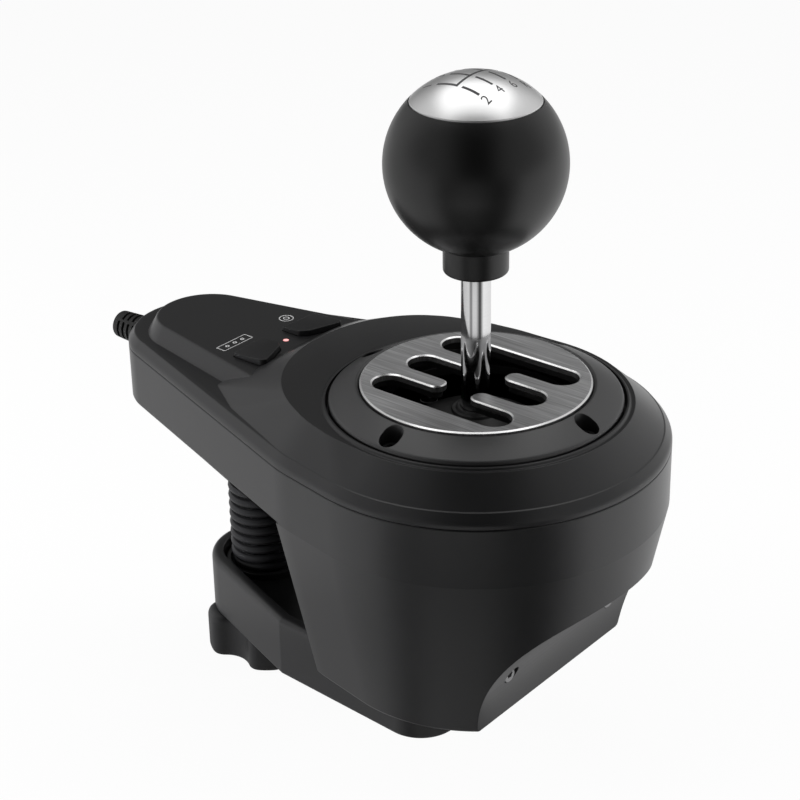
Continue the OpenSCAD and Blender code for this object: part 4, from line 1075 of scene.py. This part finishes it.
def bar_points(at, wide, deep, ease):
    """Points of a bar with round corners."""
    corners = [(-wide, -deep), (wide, -deep), (wide, deep), (-wide, deep)]
    return [tuple(p) for p in eased([(at[0] + x, at[1] + y, ease) for x, y in corners], 4, True)]


def ring_mark(at, outer, inner):
    """A ring between two radii."""
    rims = [[(at[0] + x, at[1] + y) for x, y in circle_points(r, 48)] for r in (outer, inner)]
    return frame_mark(*rims)


prints = [frame_mark(bar_points(BAR_AT, 6.75, 2.0, 0.5), bar_points(BAR_AT, 6.45, 1.7, 0.4))]
prints += [ring_mark(RING_AT, 2.5, 2.15), ring_mark(RING_AT, 1.15, 0.75)]
prints += [ring_mark(dot, 0.75, 0.3) for dot in DOTS_AT]
piece("button_marks", gather(prints), print_grey, "shell", "housing")


# Status light: a clear moulded pipe, pushed into the cover from below, that brings a red light from the
# board to the surface between the buttons.
lit, shade, shader = new_finish("lit_pipe", Roughness=0.25, Emission_Strength=1.0)
place = shade.node("ShaderNodeTexCoord", out="Object")
spot = shade.node("ShaderNodeTexNoise", None, {"Vector": place, "Scale": 300.0})
glow = between(shade, spot, (1.0, 0.24, 0.24), (1.0, 0.62, 0.6))
shade.link(shader.inputs["Emission Color"], glow)
shade.link(shader.inputs["Base Color"], glow)


# Pieces that keep their CAD shape: the mechanism inside, the boards, the base and the pads. Each gets the
# finish of what it is made of, such as moulded plastic, natural nylon, turned brass or bare steel.
brass = grained("turned_brass", (0.5, 0.34, 0.11), (0.62, 0.44, 0.17), 0.3, 700.0, 0.00001, Metallic=1.0)
nylon = grained("natural_nylon", (0.62, 0.6, 0.54), (0.72, 0.7, 0.64), 0.48, 1200.0, 0.00001)
board = grained("solder_mask", (0.012, 0.07, 0.03), (0.02, 0.11, 0.05), 0.35, 600.0, 0.00001)
finishes = {
    shell_plastic: ["base_plate"],
    dark_plastic: ["gate_guide", "gimbal_stand", "select_sensor", "shift_sensor", "reverse_switch"]
    + ["button_switches"],
    bare_steel: ["stand_screws", "board_screws", "gimbal_pins", "lever_pins", "cross_pin", "thrust_washer"],
    rubber: ["base_pad", "jaw_pad"],
    brass: ["knob_insert", "thread_insert"],
    nylon: ["gimbal_ring", "lever_block"],
    board: ["button_board", "main_board"],
    lit: ["status_light"],
}
for material, nodes in finishes.items():
    for node in nodes:
        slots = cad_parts[node].data.materials
        slots.clear()
        slots.append(material)


# Studio: a pale floor, a soft lamp on each side and one above, and a white surround that only the camera
# sees. Mirrored rays meet dark and light cards on the floor and a graded sky instead, which shape the
# black plastic; close to the object those cards carry a painted shade. The camera stands at the
# photograph's angle. These sizes are in metres.
FLOOR_Z, FLOOR_SIZE, FLOOR_WHITE = -0.0335, 4.0, 0.94
NEAR, ASIDE = (-0.7715, -0.6362), (0.6362, -0.7715)
CAMERA_AT, LOOK_AT = (-0.44713, -0.33882, 0.36730), (-0.01393, 0.01839, 0.08846)
CAMERA_ROLL, LENS, SENSOR = math.radians(-1.047), 92.75, 36.0
floor = bmesh.new()
bmesh.ops.create_grid(floor, x_segments=1, y_segments=1, size=FLOOR_SIZE)
bmesh.ops.translate(floor, vec=(0.0, 0.0, FLOOR_Z), verts=floor.verts)
ground = bpy.data.meshes.new("floor")
floor.to_mesh(ground)
floor.free()
ground_obj = bpy.data.objects.new("floor", ground)
bpy.context.scene.collection.objects.link(ground_obj)
pale, shade, shader = new_finish("pale_floor", Base_Color=(0.8, 0.8, 0.8, 1.0), Roughness=0.9)
place = shade.node("ShaderNodeTexCoord", out="Object")
x = shade.node("ShaderNodeSeparateXYZ", None, {"Vector": place}, out="X")
y = shade.node("ShaderNodeSeparateXYZ", None, {"Vector": place}, out="Y")
bearing = shade.math("ARCTAN2", x * ASIDE[0] + y * ASIDE[1], x * NEAR[0] + y * NEAR[1])
turn = bearing * (0.5 / math.pi) + 0.5


def graded(fac, stops):
    """A grey ramp from pairs of place and tone."""
    tones = [(stop, (tone, tone, tone, 1.0)) for stop, tone in stops]
    return shade.node("ShaderNodeValToRGB", {"stops": tones}, {"Fac": fac})


CARDS = [(0.0, 0.8), (0.15, 0.58), (0.34, 0.75), (0.39, 0.18), (0.435, 0.75), (0.5, 0.75)]
CARDS += [(0.565, 0.07), (0.595, 0.1), (0.66, 1.0), (1.0, 0.8)]
reach = shade.math("POWER", x * x + y * y, 0.5)
ring = graded(reach, [(0.1, 0.0), (0.15, 0.7), (0.265, 0.7), (0.3, 0.0), (0.37, 0.0), (0.43, 0.5)])
front = graded(turn, [(0.34, 0.0), (0.4, 1.0), (0.6, 1.0), (0.66, 0.0)])
# Painted shade: the floor's tones for mirrored rays are darkened close to the object, in place of the shade
# that the object casts on the floor round its foot.
close = graded(reach, [(0.11, 0.5), (0.14, 0.2), (0.2, 0.0)])
mirrored_floor = graded(turn, CARDS) * (1.0 - ring * front) * (1.0 - close)
seen = shade.node("ShaderNodeLightPath", out="Is Camera Ray")
mirror = shade.node("ShaderNodeLightPath", out="Is Glossy Ray")
white = shade.node("ShaderNodeEmission", None, {"Color": (1.0, 1.0, 1.0, 1.0), "Strength": 1.0})
black = shade.node("ShaderNodeEmission", None, {"Color": (0.0, 0.0, 0.0, 1.0), "Strength": 1.0})
lit_floor = shade.node(
    "ShaderNodeMixShader", None, {0: seen * FLOOR_WHITE, 1: Shade(shade.tree, shader.outputs["BSDF"]), 2: white}
)
card_floor = shade.node("ShaderNodeMixShader", None, {0: mirrored_floor, 1: black, 2: white})
mixed = shade.node("ShaderNodeMixShader", None, {0: mirror, 1: lit_floor, 2: card_floor})
shade.link(shade.tree.nodes["Material Output"].inputs["Surface"], mixed)
ground.materials.append(pale)

world = bpy.data.worlds.new("surround")
bpy.context.scene.world = world
world.use_nodes = True
shade = Shade(world.node_tree)
seen = shade.node("ShaderNodeLightPath", out="Is Camera Ray")
direction = shade.node("ShaderNodeTexCoord", out="Generated")
x = shade.node("ShaderNodeSeparateXYZ", None, {"Vector": direction}, out="X")
y = shade.node("ShaderNodeSeparateXYZ", None, {"Vector": direction}, out="Y")
behind = 0.5 - (x * NEAR[0] + y * NEAR[1]) * 0.5
beside = 0.5 + (x * ASIDE[0] + y * ASIDE[1]) * 0.5
sky = graded(behind, [(0.45, 0.01), (0.62, 0.3), (0.78, 0.3), (0.95, 0.14)])
sky = sky + graded(beside, [(0.15, 0.35), (0.36, 0.0), (0.62, 0.0), (0.78, 0.4)])
white_sky = {"Factor": seen, "A": sky, "B": (0.97, 0.97, 0.97, 1.0)}
surround = shade.node("ShaderNodeMix", {"data_type": "RGBA"}, white_sky, out="Result")
shade.link(world.node_tree.nodes["Background"].inputs["Color"], surround)


def lamp(name, place, aim, size, power, mirrored):
    """A soft rectangular lamp that looks at a point."""
    data = bpy.data.lights.new(name, "AREA")
    data.shape = "RECTANGLE"
    data.size, data.size_y = size
    data.energy = power
    obj = bpy.data.objects.new(name, data)
    obj.visible_glossy, obj.visible_camera = mirrored, False
    obj.location = place
    obj.rotation_mode = "QUATERNION"
    obj.rotation_quaternion = (Vector(aim) - Vector(place)).to_track_quat("-Z", "Y")
    bpy.context.scene.collection.objects.link(obj)


lamp("left_softbox", (-0.52, 0.63, 0.1), (0.0, 0.03, 0.08), (0.4, 0.24), 14.0, False)
lamp("right_softbox", (0.52, -0.6, 0.1), (0.0, 0.0, 0.08), (0.4, 0.24), 11.0, False)
lamp("top_softbox", (0.131, 0.108, 0.55), (0.139, 0.114, 0.0), (0.5, 0.5), 1.0, True)

lens = bpy.data.cameras.new("photo_camera")
lens.sensor_width = SENSOR
lens.lens = LENS
lens.clip_start, lens.clip_end = 0.05, 20.0
camera = bpy.data.objects.new("photo_camera", lens)
camera.location = CAMERA_AT
camera.rotation_mode = "QUATERNION"
look = Vector(LOOK_AT) - camera.location
camera.rotation_quaternion = look.to_track_quat("-Z", "Y") @ Quaternion((0.0, 0.0, 1.0), CAMERA_ROLL)
bpy.context.scene.collection.objects.link(camera)
bpy.context.scene.camera = camera
bpy.context.scene.view_settings.view_transform = "Standard"
